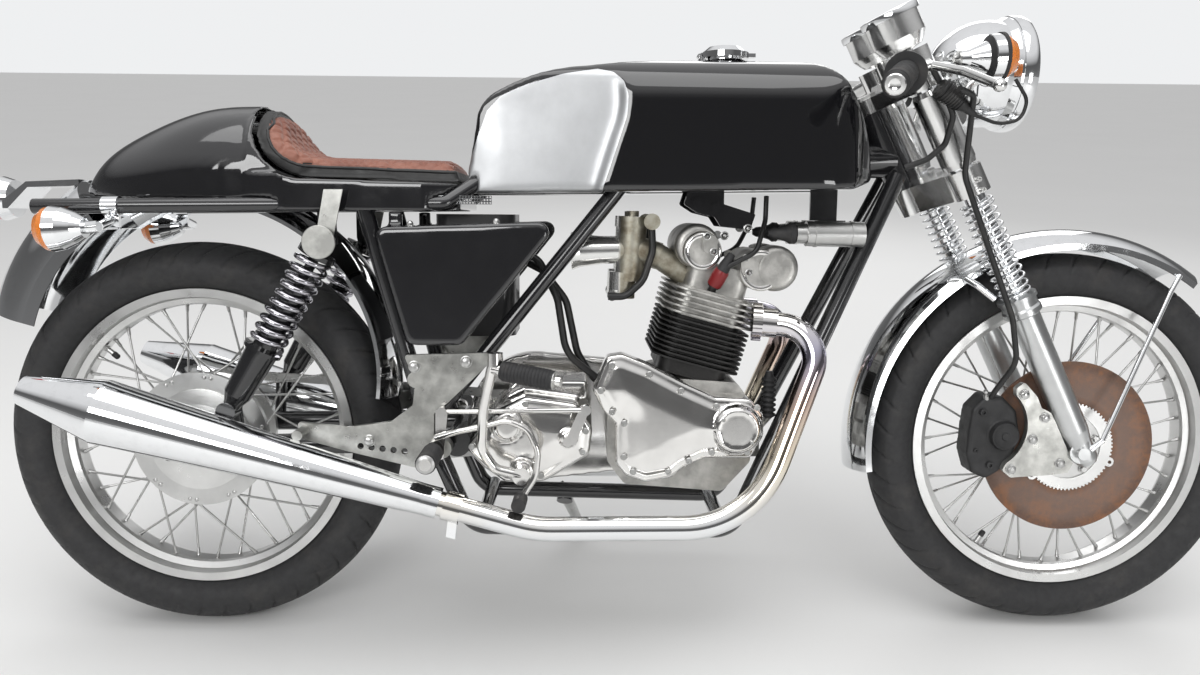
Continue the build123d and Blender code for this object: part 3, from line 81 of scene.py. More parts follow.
class Paint:
    """A material with its shader, and short ways to add nodes to it."""

    def __init__(self, name, **values):
        self.material = bpy.data.materials.new(name)
        self.material.use_nodes = True
        self.tree = self.material.node_tree
        self.shader = self.tree.nodes["Principled BSDF"]
        self.where = self.tree.nodes.new("ShaderNodeTexCoord").outputs["Object"]
        for key, value in values.items():
            self.shader.inputs[key.replace("_", " ")].default_value = value

    def node(self, kind, inputs=None, **settings):
        made = self.tree.nodes.new("ShaderNode" + kind)
        for key, value in settings.items():
            setattr(made, key, value)
        for key, value in (inputs or {}).items():
            self.feed(made.inputs[key], value)
        return made

    def feed(self, socket, value):
        if isinstance(value, bpy.types.NodeSocket):
            self.tree.links.new(value, socket)
        else:
            socket.default_value = value

    def put(self, key, value):
        self.feed(self.shader.inputs[key], value)

    def noise(self, scale, detail=4.0, rough=0.55, stretch=None, where=None):
        spot = where or self.where
        if stretch:
            spot = self.node("Mapping", {"Vector": spot, "Scale": stretch}).outputs[0]
        inputs = {"Vector": spot, "Scale": scale, "Detail": detail, "Roughness": rough}
        return self.node("TexNoise", inputs).outputs["Fac"]

    def ramp(self, value, *stops):
        """Colours or greys along a value, from pairs of place and colour."""
        made = self.node("ValToRGB", {"Fac": value})
        band = made.color_ramp.elements
        while len(band) < len(stops):
            band.new(0.5)
        for element, (at, colour) in zip(band, stops):
            element.position = at
            grey = isinstance(colour, (int, float))
            element.color = (colour, colour, colour, 1) if grey else (*colour, 1)
        return made.outputs["Color"]

    def blend(self, amount, a, b):
        made = self.node("Mix", data_type="RGBA")
        self.feed(made.inputs[0], amount)
        for socket, value in ((made.inputs[6], a), (made.inputs[7], b)):
            self.feed(socket, value if isinstance(value, bpy.types.NodeSocket) else (*value, 1))
        return made.outputs[2]

    def math(self, how, a, b=0.0):
        made = self.node("Math", operation=how)
        self.feed(made.inputs[0], a)
        self.feed(made.inputs[1], b)
        return made.outputs[0]

    def bump(self, height, strength, distance, under=None):
        inputs = {"Height": height, "Strength": strength, "Distance": distance}
        if under:
            inputs["Normal"] = under
        made = self.node("Bump", inputs).outputs[0]
        self.put("Normal", made)
        return made


def shade(colour, share):
    """A colour at a share of its strength."""
    return tuple(c * share for c in colour)


def gloss_paint(name, colour, roughness=0.06, coat=1.0):
    """Sprayed and lacquered paint with a light haze and dust."""
    p = Paint(name, Roughness=roughness, Coat_Weight=coat, Coat_Roughness=0.03)
    haze = p.noise(5.0, 3)
    lighter = tuple(c * 1.6 + 0.004 for c in colour)
    p.put("Base Color", p.blend(haze, colour, lighter))
    p.put("Roughness", p.ramp(p.noise(40, 5), (0.3, roughness), (0.8, roughness + 0.10)))
    p.bump(p.noise(70, 2), 0.012, 0.0006)
    return p.material


def polished(name, colour, low=0.10, high=0.28, dents=0.05):
    """Polished alloy with buffing marks and dull patches."""
    p = Paint(name, Metallic=1.0)
    dull = p.noise(14, 6, 0.6)
    p.put("Base Color", p.blend(p.ramp(dull, (0.35, 0), (0.75, 1)), colour, shade(colour, 0.82)))
    p.put("Roughness", p.ramp(dull, (0.3, low), (0.75, high)))
    marks = p.noise(30, 3, 0.5, stretch=(1, 1, 22))
    p.bump(marks, dents, 0.0004, p.bump(p.noise(20, 2), dents, 0.0014))
    return p.material


def chrome(name, colour=(0.86, 0.87, 0.88), haze=0.16):
    """Bright plating with faint haze and water spots."""
    p = Paint(name, Metallic=1.0)
    spots = p.noise(60, 6, 0.65)
    p.put("Base Color", p.blend(p.ramp(spots, (0.5, 0), (0.8, 1)), colour, shade(colour, 0.9)))
    p.put("Roughness", p.ramp(spots, (0.45, 0.04), (0.8, haze)))
    p.bump(p.noise(9, 2), 0.05, 0.002)
    return p.material


def header_chrome(name):
    """Plated header pipe, tinted straw, brown and blue by the heat near the engine."""
    p = Paint(name, Metallic=1.0, Roughness=0.07)
    place = p.node("SeparateXYZ", {0: p.where}).outputs[2]
    height = p.math("ADD", place, p.math("MULTIPLY", p.noise(9, 4), 0.10))
    p.put("Base Color", p.ramp(height, (0.30, (0.86, 0.87, 0.88)), (0.40, (0.84, 0.76, 0.62)),
                               (0.48, (0.66, 0.50, 0.42)), (0.54, (0.52, 0.50, 0.62)),
                               (0.60, (0.78, 0.76, 0.74))))
    p.bump(p.noise(9, 2), 0.05, 0.002)
    return p.material


def carburettor(name):
    """Stained casting with a polished bell mouth behind it."""
    p = Paint(name, Metallic=0.9)
    place = p.node("SeparateXYZ", {0: p.where}).outputs[0]
    cast_part = p.ramp(p.math("ADD", p.math("MULTIPLY", place, 20.0), 0.84), (0.45, 0), (0.55, 1))
    stain = p.ramp(p.noise(34, 6, 0.6), (0.32, (0.20, 0.17, 0.12)), (0.55, (0.42, 0.40, 0.33)),
                   (0.75, (0.50, 0.49, 0.44)))
    p.put("Base Color", p.blend(cast_part, (0.78, 0.78, 0.76), stain))
    p.put("Roughness", p.blend(cast_part, (0.16, 0.16, 0.16), (0.46, 0.46, 0.46)))
    p.bump(p.noise(380, 4, 0.6), 0.2, 0.0006)
    return p.material


def cast(name, colour, roughness=0.5, metal=0.85, grain=0.25):
    """Sand-cast alloy with grain, and dirt in patches."""
    p = Paint(name, Metallic=metal)
    dirt = p.ramp(p.noise(22, 6, 0.62), (0.38, 0), (0.68, 1))
    p.put("Base Color", p.blend(dirt, shade(colour, 0.55), colour))
    p.put("Roughness", p.ramp(p.noise(50, 3), (0.3, roughness - 0.1), (0.8, roughness + 0.15)))
    p.bump(p.noise(420, 4, 0.6), grain, 0.0008)
    return p.material


def rubber(name, colour=(0.02, 0.02, 0.021), roughness=0.62, dust=(0.09, 0.08, 0.07)):
    """Dull rubber or paint with dust lying in patches."""
    p = Paint(name)
    p.put("Base Color", p.blend(p.ramp(p.noise(18, 6, 0.65), (0.52, 0), (0.85, 0.5)), colour, dust))
    p.put("Roughness", p.ramp(p.noise(90, 3), (0.3, roughness - 0.1), (0.8, roughness + 0.14)))
    p.bump(p.noise(600, 3), 0.12, 0.0004)
    return p.material


def lens(name, colour):
    """Moulded lamp lens with fine ribs inside."""
    p = Paint(name, Roughness=0.12, Transmission_Weight=0.35, IOR=1.49, Coat_Weight=0.6)
    cloud = p.noise(30, 2)
    p.put("Base Color", p.blend(cloud, colour, tuple(min(1, c * 1.25 + 0.02) for c in colour)))
    ribs = p.node("TexWave", {"Vector": p.where, "Scale": 190.0}, bands_direction="Z")
    p.bump(ribs.outputs["Fac"], 0.35, 0.0006)
    return p.material


def glass(name, cover=0.30, ribs=0.3):
    """Clear glass, seen more by its shine than by its body, with the flutes of a lamp."""
    p = Paint(name, Roughness=0.03, IOR=1.5, Alpha=cover, Specular_IOR_Level=0.9)
    p.put("Base Color", p.blend(p.noise(12, 2), (0.93, 0.95, 0.96), (0.98, 0.99, 1.0)))
    flutes = p.node("TexWave", {"Vector": p.where, "Scale": 46.0}, bands_direction="Y")
    p.bump(flutes.outputs["Fac"], ribs, 0.001)
    return p.material


def rusty_disc(name, middle):
    """Brake disc: brown rust with orange streaks, and a paler worn track."""
    p = Paint(name, Metallic=0.35)
    patches = p.noise(32, 10, 0.78)
    rust = p.ramp(patches, (0.30, (0.075, 0.045, 0.033)), (0.46, (0.135, 0.078, 0.055)),
                  (0.62, (0.27, 0.120, 0.055)), (0.76, (0.19, 0.125, 0.095)))
    away = p.node("VectorMath", {0: p.where, 1: middle}, operation="DISTANCE").outputs["Value"]
    swirl = p.noise(7, 4)
    edge = p.math("ADD", away, p.math("MULTIPLY", swirl, 0.004))
    worn = p.ramp(p.math("MULTIPLY", edge, 5.0), (0.36, 0.0), (0.44, 0.55), (0.62, 0.38), (0.69, 0.05))
    turned = p.noise(1.0, 6, 0.7, where=p.math("MULTIPLY", away, 900.0))
    rings = p.ramp(turned, (0.35, 0.75), (0.65, 1.1))
    p.put("Base Color", p.blend(worn, rust, (0.28, 0.20, 0.165)))
    p.put("Roughness", p.ramp(patches, (0.3, 0.45), (0.8, 0.8)))
    p.bump(rings, 0.25, 0.0005, p.bump(p.noise(300, 5, 0.7), 0.3, 0.0006))
    return p.material


def leather(name, colour, dark, crease=0.25):
    """Hide with fine grain, creases and darker patches."""
    p = Paint(name, Sheen_Weight=0.12, Sheen_Roughness=0.4)
    tone = p.noise(16, 5, 0.6)
    p.put("Base Color", p.blend(p.ramp(tone, (0.3, 0), (0.75, 1)), dark, colour))
    p.put("Roughness", p.ramp(p.noise(70, 4), (0.3, 0.38), (0.8, 0.6)))
    grain = p.node("TexVoronoi", {"Vector": p.where, "Scale": 900.0}, feature="DISTANCE_TO_EDGE")
    fine = p.bump(grain.outputs["Distance"], 0.30, 0.0004)
    p.bump(p.noise(38, 5, 0.6), crease, 0.0016, fine)
    return p.material


LACQUER = (0.006, 0.006, 0.007)
BLACK = gloss_paint("black_lacquer", LACQUER)
FRAME_BLACK = gloss_paint("black_frame_enamel", (0.008, 0.008, 0.009), 0.12, 0.7)
SATIN_BLACK = gloss_paint("black_satin_enamel", (0.014, 0.014, 0.015), 0.34, 0.2)
POLISHED = polished("polished_alloy", (0.80, 0.80, 0.79))
COVER = polished("polished_cover_alloy", (0.84, 0.83, 0.81), 0.07, 0.20, 0.03)
SATIN = polished("satin_alloy", (0.66, 0.67, 0.67), 0.27, 0.42, 0.12)
WHEEL_ALLOY = polished("wheel_alloy", (0.70, 0.70, 0.69), 0.24, 0.42, 0.06)
CHROME = chrome("chrome_plate")
SPRING_CHROME = chrome("shock_spring_plate", (0.46, 0.45, 0.48), 0.12)
STEEL = polished("zinc_steel", (0.56, 0.56, 0.55), 0.22, 0.45, 0.08)
BRASS = polished("brass", (0.66, 0.47, 0.20), 0.2, 0.4)
CAST = cast("cast_alloy", (0.62, 0.61, 0.58), 0.4, 0.9, 0.2)
CARB = carburettor("carburettor_casting")
PLATE = cast("plate_alloy", (0.60, 0.60, 0.57), 0.36, 0.9, 0.08)
BARREL = cast("barrel_black", (0.022, 0.021, 0.020), 0.5, 0.2, 0.3)
CALIPER = cast("caliper_black", (0.035, 0.035, 0.036), 0.5, 0.3, 0.3)
RUBBER = rubber("black_rubber")
HOSE = rubber("hose_rubber", (0.012, 0.012, 0.012), 0.4)
TYRE = rubber("tyre_rubber", (0.022, 0.022, 0.023), 0.66, (0.075, 0.068, 0.06))
LEATHER = leather("quilted_hide", (0.33, 0.135, 0.09), (0.19, 0.065, 0.042))
VINYL = leather("black_vinyl", (0.018, 0.018, 0.018), (0.008, 0.008, 0.008), 0.12)
PIPING = leather("black_piping", (0.02, 0.02, 0.02), (0.01, 0.01, 0.01), 0.05)
AMBER = lens("amber_lens", (0.92, 0.25, 0.02))
RED = lens("red_lens", (0.55, 0.01, 0.012))
RED_CAP = rubber("red_plug_cap", (0.20, 0.01, 0.012), 0.4, (0.22, 0.05, 0.05))
GLASS = glass("lamp_glass")
GAUGE_GLASS = glass("gauge_glass", 0.10, 0.0)
DISC = rusty_disc("rusty_disc", STANCE @ Vector((WHEELBASE, -60, FRONT_R)))

FINISH = (
    # material, nodes
    (TYRE, ("rear_tyre", "front_tyre")),
    (WHEEL_ALLOY, ("rear_rim", "front_rim", "rear_hub", "front_hub")),
    (STEEL, ("rear_spokes", "front_spokes", "fork_springs", "side_stand", "ignition_coils")),
    (DISC, ("brake_disc",)),
    (CHROME, ("stanchions", "front_mudguard", "rear_mudguard", "headlamp_shell", "front_indicators",
              "rear_indicators", "silencers", "filler_cap", "tail_lamp")),
    (header_chrome("header_chrome"), ("exhaust_pipes",)),
    (POLISHED, ("fork_yokes", "headlamp_brackets", "clip_on_bars", "levers", "instruments")),
    (SATIN, ("fork_sliders",)),
    (COVER, ("timing_cover", "primary_cover", "gearbox", "foot_controls")),
    (CAST, ("crankcase", "cylinder_head", "rocker_covers")),
    (CARB, ("carburettors",)),
    (PLATE, ("cradle_plates", "caliper_plate")),
    (BARREL, ("barrel",)),
    (CALIPER, ("brake_caliper",)),
    (BLACK, ("fuel_tank", "seat_unit", "side_panels")),
    (SPRING_CHROME, ("shock_springs",)),
    (FRAME_BLACK, ("frame_spine", "frame_lower_loop", "frame_rear_loop", "swingarm",
                   "shock_dampers")),
    (SATIN_BLACK, ("oil_tank", "drive_chain")),
    (LEATHER, ("seat_pad",)),
    (RUBBER, ("grips", "pedal_rubbers")),
    (HOSE, ("hoses", "control_cables")),
    (AMBER, ("front_indicator_lenses", "rear_indicator_lenses")),
    (RED, ("tail_lamp_lens",)),
    (GLASS, ("headlamp_glass",)),
)
for finish, names in FINISH:
    for name in names:
        slots = NODES[name].data.materials
        slots.clear()
        slots.append(finish)

# Making pieces


def placed(name, data):
    """New object in the scene."""
    obj = bpy.data.objects.new(name, data)
    bpy.context.scene.collection.objects.link(obj)
    return obj


def piece(name, mesh, material, body, sharp=35.0, stands_for=()):
    """A mesh drawn upright in millimetres becomes a piece on a body."""
    mesh.transform(STANCE)
    mesh.shade_smooth()
    mesh.set_sharp_from_angle(angle=math.radians(sharp))
    obj = placed(name, mesh)
    for one in material if isinstance(material, (list, tuple)) else (material,):
        obj.data.materials.append(one)
    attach(obj, body)
    if stands_for:
        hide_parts(*stands_for)
    return obj


def mesh_from(name, build):
    """Mesh that a function fills."""
    work = bmesh.new()
    build(work)
    bmesh.ops.recalc_face_normals(work, faces=work.faces)
    mesh = bpy.data.meshes.new(name)
    work.to_mesh(mesh)
    work.free()
    return mesh


def side_axes(direction):
    """Two directions square to one."""
    a = direction.orthogonal().normalized()
    return a, direction.cross(a).normalized()


def spin(work, start, direction, profile, segments):
    """Adds a turned shape: profile is pairs of distance along the line and radius."""
    line = Vector(direction).normalized()
    a, b = side_axes(line)
    rings = []
    for distance, r in profile:
        middle = Vector(start) + line * distance
        if r < 1e-6:
            rings.append([work.verts.new(middle)])
        else:
            rings.append([work.verts.new(middle + (a * math.cos(t) + b * math.sin(t)) * r)
                          for t in (2 * math.pi * k / segments for k in range(segments))])
    for low, high in zip(rings, rings[1:]):
        for k in range(segments):
            n = (k + 1) % segments
            if len(low) == 1 and len(high) == 1:
                continue
            if len(low) == 1:
                face = (low[0], high[k], high[n])
            elif len(high) == 1:
                face = (low[k], high[0], low[n])
            else:
                face = (low[k], high[k], high[n], low[n])
            work.faces.new(face)


def lathe(name, start, direction, profile, material, body, segments=48, sharp=35.0):
    """Piece turned about a line, with the profile that spin takes."""
    mesh = mesh_from(name, lambda work: spin(work, start, direction, profile, segments))
    piece(name, mesh, material, body, sharp)


def bolt(work, at, direction, r, height, kind):
    """Adds one fastener that stands on a face: cap screw, domed nut or hex head."""

    def turned(profile, segments=20):
        spin(work, at, direction, profile, segments)

    if kind == "cap":
        turned([(-0.5, 0), (-0.5, r), (height - 0.8, r), (height, r - 0.8), (height, r * 0.5),
                (height * 0.4, r * 0.5), (height * 0.4, 0)])
        return
    turned([(-0.8, 0), (-0.8, r * 1.45), (0.9, r * 1.45), (1.2, r * 1.3), (1.2, 0)])
    flat = r * 1.15
    if kind == "dome":
        turned([(1.0, 0), (1.0, flat), (height * 0.55, flat)], 6)
        turned([(height * 0.5, r), (height * 0.8, r * 0.8), (height, r * 0.35), (height, 0)])
    else:
        turned([(1.0, 0), (1.0, flat), (height - 0.8, flat), (height, r * 0.95), (height, 0)], 6)


def bolts(name, material, body, rows):
    """One piece of many fasteners, from rows of place, direction, radius, height and kind."""

    def build(work):
        for at, direction, r, height, kind in rows:
            bolt(work, at, direction, r, height, kind)

    piece(name, mesh_from(name, build), material, body, 40)


def strand(name, kind, places, r, rounds, material, body):
    """Round wire along places: NURBS passes near them smoothly, POLY goes straight."""
    line = bpy.data.curves.new(name, "CURVE")
    line.dimensions = "3D"
    line.bevel_depth = r / 1000
    line.bevel_resolution = rounds
    line.use_fill_caps = True
    spline = line.splines.new(kind)
    spline.points.add(len(places) - 1)
    for point, place in zip(spline.points, places):
        point.co = (*(STANCE @ place), 1)
    if kind == "NURBS":
        spline.order_u = 3
        spline.use_endpoint_u = True
        spline.resolution_u = 10
    obj = placed(name, line)
    line.materials.append(material)
    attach(obj, body)
    return obj


def copied(node, name):
    """Upright copy, in millimetres, of a CAD node's mesh."""
    mesh = NODES[node].data.copy()
    mesh.name = name
    mesh.materials.clear()
    mesh.transform(STANCE.inverted())
    return mesh


def changed(mesh, *steps):
    """The mesh after modifiers, each given as its kind and settings."""
    work = placed("work", mesh)
    for kind, settings in steps:
        modifier = work.modifiers.new(kind, kind)
        for key, value in settings.items():
            setattr(modifier, key, value)
    made = bpy.data.meshes.new_from_object(work.evaluated_get(bpy.context.evaluated_depsgraph_get()))
    bpy.data.objects.remove(work)
    return made


def even(voxel):
    return "REMESH", {"mode": "VOXEL", "voxel_size": voxel}


def soft(passes):
    return "SMOOTH", {"factor": 0.5, "iterations": passes}


def rounded(mesh, voxel, passes):
    """The mesh in even faces and smoothed, as beaten sheet and sand castings are."""
    return changed(mesh, even(voxel), soft(passes))


def nearest(a, b, x, z):
    """Share of the way from a to b that lies nearest a place in side view, and how far off."""
    dx, dz = b[0] - a[0], b[1] - a[1]
    t = max(0.0, min(1.0, ((x - a[0]) * dx + (z - a[1]) * dz) / (dx * dx + dz * dz)))
    return t, math.hypot(x - a[0] - t * dx, z - a[1] - t * dz)


def edge_distance(outline, x, z):
    """Signed distance in the side view to a closed outline, positive inside."""
    inside = False
    best = math.inf
    for a, b in zip(outline, outline[1:] + outline[:1]):
        (x0, z0), (x1, z1) = a, b
        if (z0 > z) != (z1 > z) and x < (x1 - x0) * (z - z0) / (z1 - z0) + x0:
            inside = not inside
        best = min(best, nearest(a, b, x, z)[1])
    return best if inside else -best


def along(line, x, z):
    """Length along a line in side view to the place nearest a point, and the distance to it."""
    best, found, passed = math.inf, 0.0, 0.0
    for a, b in zip(line, line[1:]):
        run = math.dist(a, b)
        t, away = nearest(a, b, x, z)
        if away < best:
            best, found = away, passed + t * run
        passed += run
    return found, best


def arc3(a, b, c, count):
    """Points along the arc from a through b to c."""
    (ax, ay), (bx, by), (cx, cy) = a, b, c
    aa, bb, cc = ax * ax + ay * ay, bx * bx + by * by, cx * cx + cy * cy
    d = 2 * (ax * (by - cy) + bx * (cy - ay) + cx * (ay - by))
    ux = (aa * (by - cy) + bb * (cy - ay) + cc * (ay - by)) / d
    uy = (aa * (cx - bx) + bb * (ax - cx) + cc * (bx - ax)) / d
    r = math.hypot(ax - ux, ay - uy)
    t0, t1, t2 = (math.atan2(y - uy, x - ux) for x, y in (a, b, c))
    while t1 - t0 > math.pi:
        t1 -= 2 * math.pi
    while t0 - t1 > math.pi:
        t1 += 2 * math.pi
    while abs(t2 - t1) > math.pi:
        t2 += 2 * math.pi if t2 < t1 else -2 * math.pi
    turns = (t0 + (t2 - t0) * k / count for k in range(count + 1))
    return [(ux + r * math.cos(t), uy + r * math.sin(t)) for t in turns]


# Tank

KNEE = [(430, 690), (652, 690), (662, 739), (681, 796), (697, 845), (699, 876), (692, 898), (676, 912),
        (652, 917), (600, 908), (540, 890), (505, 874), (484, 852), (470, 815), (440, 728)]
KNEE_FROM_Y = 60.0
BARE_ALLOY = (0.56, 0.57, 0.58)


def two_finish(name, first, second, attribute):
    """Material that changes between two finishes where an attribute crosses zero."""
    p = Paint(name)
    mark = p.node("Attribute", attribute_name=attribute).outputs["Fac"]
    amount = p.ramp(p.math("ADD", p.math("MULTIPLY", mark, 0.5), 0.5), (0.42, 0), (0.58, 1))
    dull = p.noise(14, 6, 0.6)
    metal = p.blend(p.ramp(dull, (0.3, 0), (0.75, 1)), second, shade(second, 0.8))
    p.put("Base Color", p.blend(amount, first, metal))
    p.put("Metallic", amount)
    p.put("Roughness", p.blend(amount, (0.07, 0.07, 0.07), p.ramp(dull, (0.3, 0.38), (0.8, 0.52))))
    p.put("Coat Weight", p.math("SUBTRACT", 1.0, amount))
    p.bump(p.noise(30, 3, 0.5, stretch=(20, 1, 1)), 0.05, 0.0006)
    return p.material


tank = rounded(copied("fuel_tank", "tank"), 5.0, 8)
mark = tank.attributes.new("knee", "FLOAT", "POINT")
for vertex, value in zip(tank.vertices, mark.data):
    at = vertex.co
    value.value = edge_distance(KNEE, at.x, at.z) if abs(at.y) > KNEE_FROM_Y else -10.0
TANK = two_finish("tank_finish", LACQUER, BARE_ALLOY, "knee")
piece("tank", tank, TANK, "chassis", 60, ("fuel_tank",))

# Seat

LIP_BACK = 117.0
LIP_FOOT = 742.0
LIP_STEP = 7.4
LIP_WALL = 8.0
HUMP_HALF = 117.0
HUMP_SPRING = 768.0
HUMP_RISE = 100.0
BACK_ARC = arc3((122.5, 846), (143, 780), (202, 748.5), 24)
PAD_EDGE = [(122, 868)] + BACK_ARC + [(440, 742.5)]
PAD_LINE = [(446, 752), (440, 768), (230, 772), (206, 777), (184, 790), (168, 810), (158, 834),
            (144, 866)]
PAD_BACK = 150.0
PAD_FRONT = 446.0
FLAT_TOP = 790.0
DOME = 9.0
ROLL = 20.0
WELT_Y = 112.0
WELT_X = 147.0
ARCH_MIDDLE = 751.3
ARCH_R = 114.7
FOAM_INSET = 2.5
FOAM_STEPS = 20
CHANNEL_PITCH = 25.0
CHANNEL_SLANT = 0.85
CHANNEL_DEPTH = 3.4
CHANNEL_WIDE = 3.4
SEAM_DEPTH = 2.2
SEAM_WIDE = 3.0


def lip(work):
    """Adds the shell's flanks that sweep from the hump's front edge to the pad."""
    for side in (-1, 1):
        rings = []
        for k in range(15):
            z = LIP_FOOT + k * LIP_STEP
            half = HUMP_HALF * math.sqrt(1 - (max(0.0, z - HUMP_SPRING) / HUMP_RISE) ** 2)
            edge = min(BACK_ARC + [(196, LIP_FOOT)], key=lambda p: abs(p[1] - z))[0]
            corners = ((LIP_BACK, half - LIP_WALL), (LIP_BACK, half), (edge, half - 1),
                       (edge, half - LIP_WALL))
            rings.append([work.verts.new((x, side * y, z)) for x, y in corners])
        for low, high in zip(rings, rings[1:]):
            for i in range(4):
                j = (i + 1) % 4
                work.faces.new((low[i], low[j], high[j], high[i]))
        work.faces.new(rings[0])
        work.faces.new(rings[-1])


def seat_shell():
    both = bmesh.new()
    both.from_mesh(copied("seat_unit", "shell"))
    both.from_mesh(mesh_from("lip", lip))
    mesh = bpy.data.meshes.new("seat_shell")
    both.to_mesh(mesh)
    both.free()
    return rounded(mesh, 3.2, 8)


def pad_freedom(p, normal):
    """The pad is held where it rests in its shell."""
    if normal.z < -0.3 or (normal.x < -0.4 and p.x < PAD_BACK):
        return 0.0
    return 1.0


def blown(cover):
    """Where the points of a cover go when its foam presses out, in millimetres."""
    cover.transform(Matrix.Scale(0.001, 4))
    work = placed("work", cover)
    cloth = work.modifiers.new("fill", "CLOTH")
    cloth.settings.quality = 4
    cloth.settings.mass = 0.3
    cloth.settings.use_pressure = True
    cloth.settings.uniform_pressure_force = 4.0
    cloth.settings.effector_weights.gravity = 0
    cloth.point_cache.frame_start, cloth.point_cache.frame_end = 1, FOAM_STEPS
    for step in range(1, FOAM_STEPS + 1):
        bpy.context.scene.frame_set(step)
    full = work.evaluated_get(bpy.context.evaluated_depsgraph_get()).to_mesh()
    moved = [v.co * 1000 for v in full.vertices]
    bpy.context.scene.frame_set(1)
    bpy.data.objects.remove(work)
    cover.transform(Matrix.Scale(1000, 4))
    return moved


def filled(mesh, voxel, cap, free):
    """Cover blown up by its foam: cloth with pressure on an even copy, held to a small movement."""
    cover = changed(mesh, even(voxel))
    for vertex, normal in zip(cover.vertices, [n.vector.copy() for n in cover.vertex_normals]):
        vertex.co -= normal * FOAM_INSET
    rest = [v.co.copy() for v in cover.vertices]
    hold = [free(v.co, n.vector) for v, n in zip(cover.vertices, cover.vertex_normals)]
    moved = blown(cover)
    for vertex, start, end, share in zip(cover.vertices, rest, moved, hold):
        step = (end - start) * share
        vertex.co = start + step * min(1.0, cap / max(step.length, 1e-6))
    return changed(cover, soft(4), ("SUBSURF", {"levels": 1}))


def inside_welt(p):
    """How far a point of the pad is inside the line of its piping; below zero it is on the roll."""
    return along(PAD_EDGE, p.x, p.z)[1] - ROLL


def quilt(mesh):
    """Crowns the pad's flat, sews crossing channels into it and gives its two hides their faces."""
    for vertex, normal in zip(mesh.vertices, [n.vector.copy() for n in mesh.vertex_normals]):
        p = vertex.co
        inner = inside_welt(p)
        if inner < 0:
            continue
        if p.z < FLAT_TOP:
            crown = DOME * math.cos(min(1, abs(p.y) / 104) * math.pi / 2)
            p.z += crown * min(1, (p.x - PAD_BACK) / 60, max(0, PAD_FRONT - p.x) / 30)
        s = along(PAD_LINE, p.x, p.z)[0]
        crossings = ((s + way * p.y * CHANNEL_SLANT) / CHANNEL_PITCH for way in (1, -1))
        near = min(abs(line - round(line)) * CHANNEL_PITCH for line in crossings)
        fade = min(1.0, inner / 7) * min(1.0, s / 14)
        vertex.co -= normal * (CHANNEL_DEPTH * math.exp(-(near / CHANNEL_WIDE) ** 2) * fade
                               + SEAM_DEPTH * math.exp(-(inner / SEAM_WIDE) ** 2))
    for face in mesh.polygons:
        face.material_index = 1 if inside_welt(face.center) < 0 or face.normal.z < -0.4 else 0


def piping_line(skin):
    """Places on the pad along its roll: forward on one side, over the back and down the other."""
    half = [(x, WELT_Y, 748.5 + ROLL - (x - 202) * 0.025) for x in range(436, 206, -20)]
    for (x0, z0), (x1, z1) in reversed(list(zip(BACK_ARC, BACK_ARC[1:]))):
        run = math.hypot(x1 - x0, z1 - z0)
        x, z = (x0 + x1) / 2 - (z1 - z0) / run * ROLL, (z0 + z1) / 2 + (x1 - x0) / run * ROLL
        if z < 832:
            arch = math.sqrt(ARCH_R ** 2 - (z - ARCH_MIDDLE) ** 2) + 2
            half.append((x, arch if z > FLAT_TOP else WELT_Y, z))
    for k in range(8):
        turn = math.radians(48 + k * 6)
        half.append((WELT_X, math.cos(turn) * ARCH_R, ARCH_MIDDLE + math.sin(turn) * ARCH_R))
    return [skin.find_nearest(Vector(p))[0] for p in [(x, -y, z) for x, y, z in half] + half[::-1]]


piece("seat_shell", seat_shell(), BLACK, "chassis", 60, ("seat_unit",))
pad = filled(copied("seat_pad", "seat_pad_quilted"), 5.0, 7.0, pad_freedom)
quilt(pad)
skin = BVHTree.FromPolygons([v.co for v in pad.vertices], [list(f.vertices) for f in pad.polygons])
welt = piping_line(skin)
quilted = piece("seat_pad_quilted", pad, (LEATHER, VINYL), "chassis", 180, ("seat_pad",))
strand("seat_piping", "NURBS", welt, 2.4, 4, PIPING, "chassis")

# Castings with soft edges

for node, finish, voxel, passes in (("primary_cover", COVER, 3.6, 6), ("rocker_covers", CAST, 2.6, 4),
                                    ("brake_caliper", CALIPER, 2.2, 4), ("side_panels", BLACK, 3.2, 5)):
    name = node + "_finished"
    piece(name, rounded(copied(node, name), voxel, passes), finish, BODY_OF[node], 60, (node,))

# Drive chain

CHAIN_PITCH = 15.875
CHAIN_Y = 66.999
REAR_SPROCKET = (0.0, REAR_R, 91.5)
ENGINE_SPROCKET = (545.0, 330.0, 45.5)


def chain_path():
    """Places of the pins, as X and Z, along the run round both sprockets."""
    (x0, z0, r0), (x1, z1, r1) = REAR_SPROCKET, ENGINE_SPROCKET
    base = math.atan2(z1 - z0, x1 - x0)
    lean = math.acos((r0 - r1) / math.hypot(x1 - x0, z1 - z0))
    turns = [base + lean + (2 * math.pi - 2 * lean) * k / 240 for k in range(241)]
    line = [(x0 + r0 * math.cos(t), z0 + r0 * math.sin(t)) for t in turns]
    turns = [base - lean + 2 * lean * k / 120 for k in range(121)]
    line += [(x1 + r1 * math.cos(t), z1 + r1 * math.sin(t)) for t in turns]
    line.append(line[0])
    total = sum(math.dist(a, b) for a, b in zip(line, line[1:]))
    count = round(total / CHAIN_PITCH / 2) * 2
    step = total / count
    places, passed = [], 0.0
    for a, b in zip(line, line[1:]):
        run = math.dist(a, b)
        while len(places) * step < passed + run and len(places) < count:
            t = (len(places) * step - passed) / run
            places.append((a[0] + (b[0] - a[0]) * t, a[1] + (b[1] - a[1]) * t))
        passed += run
    return places


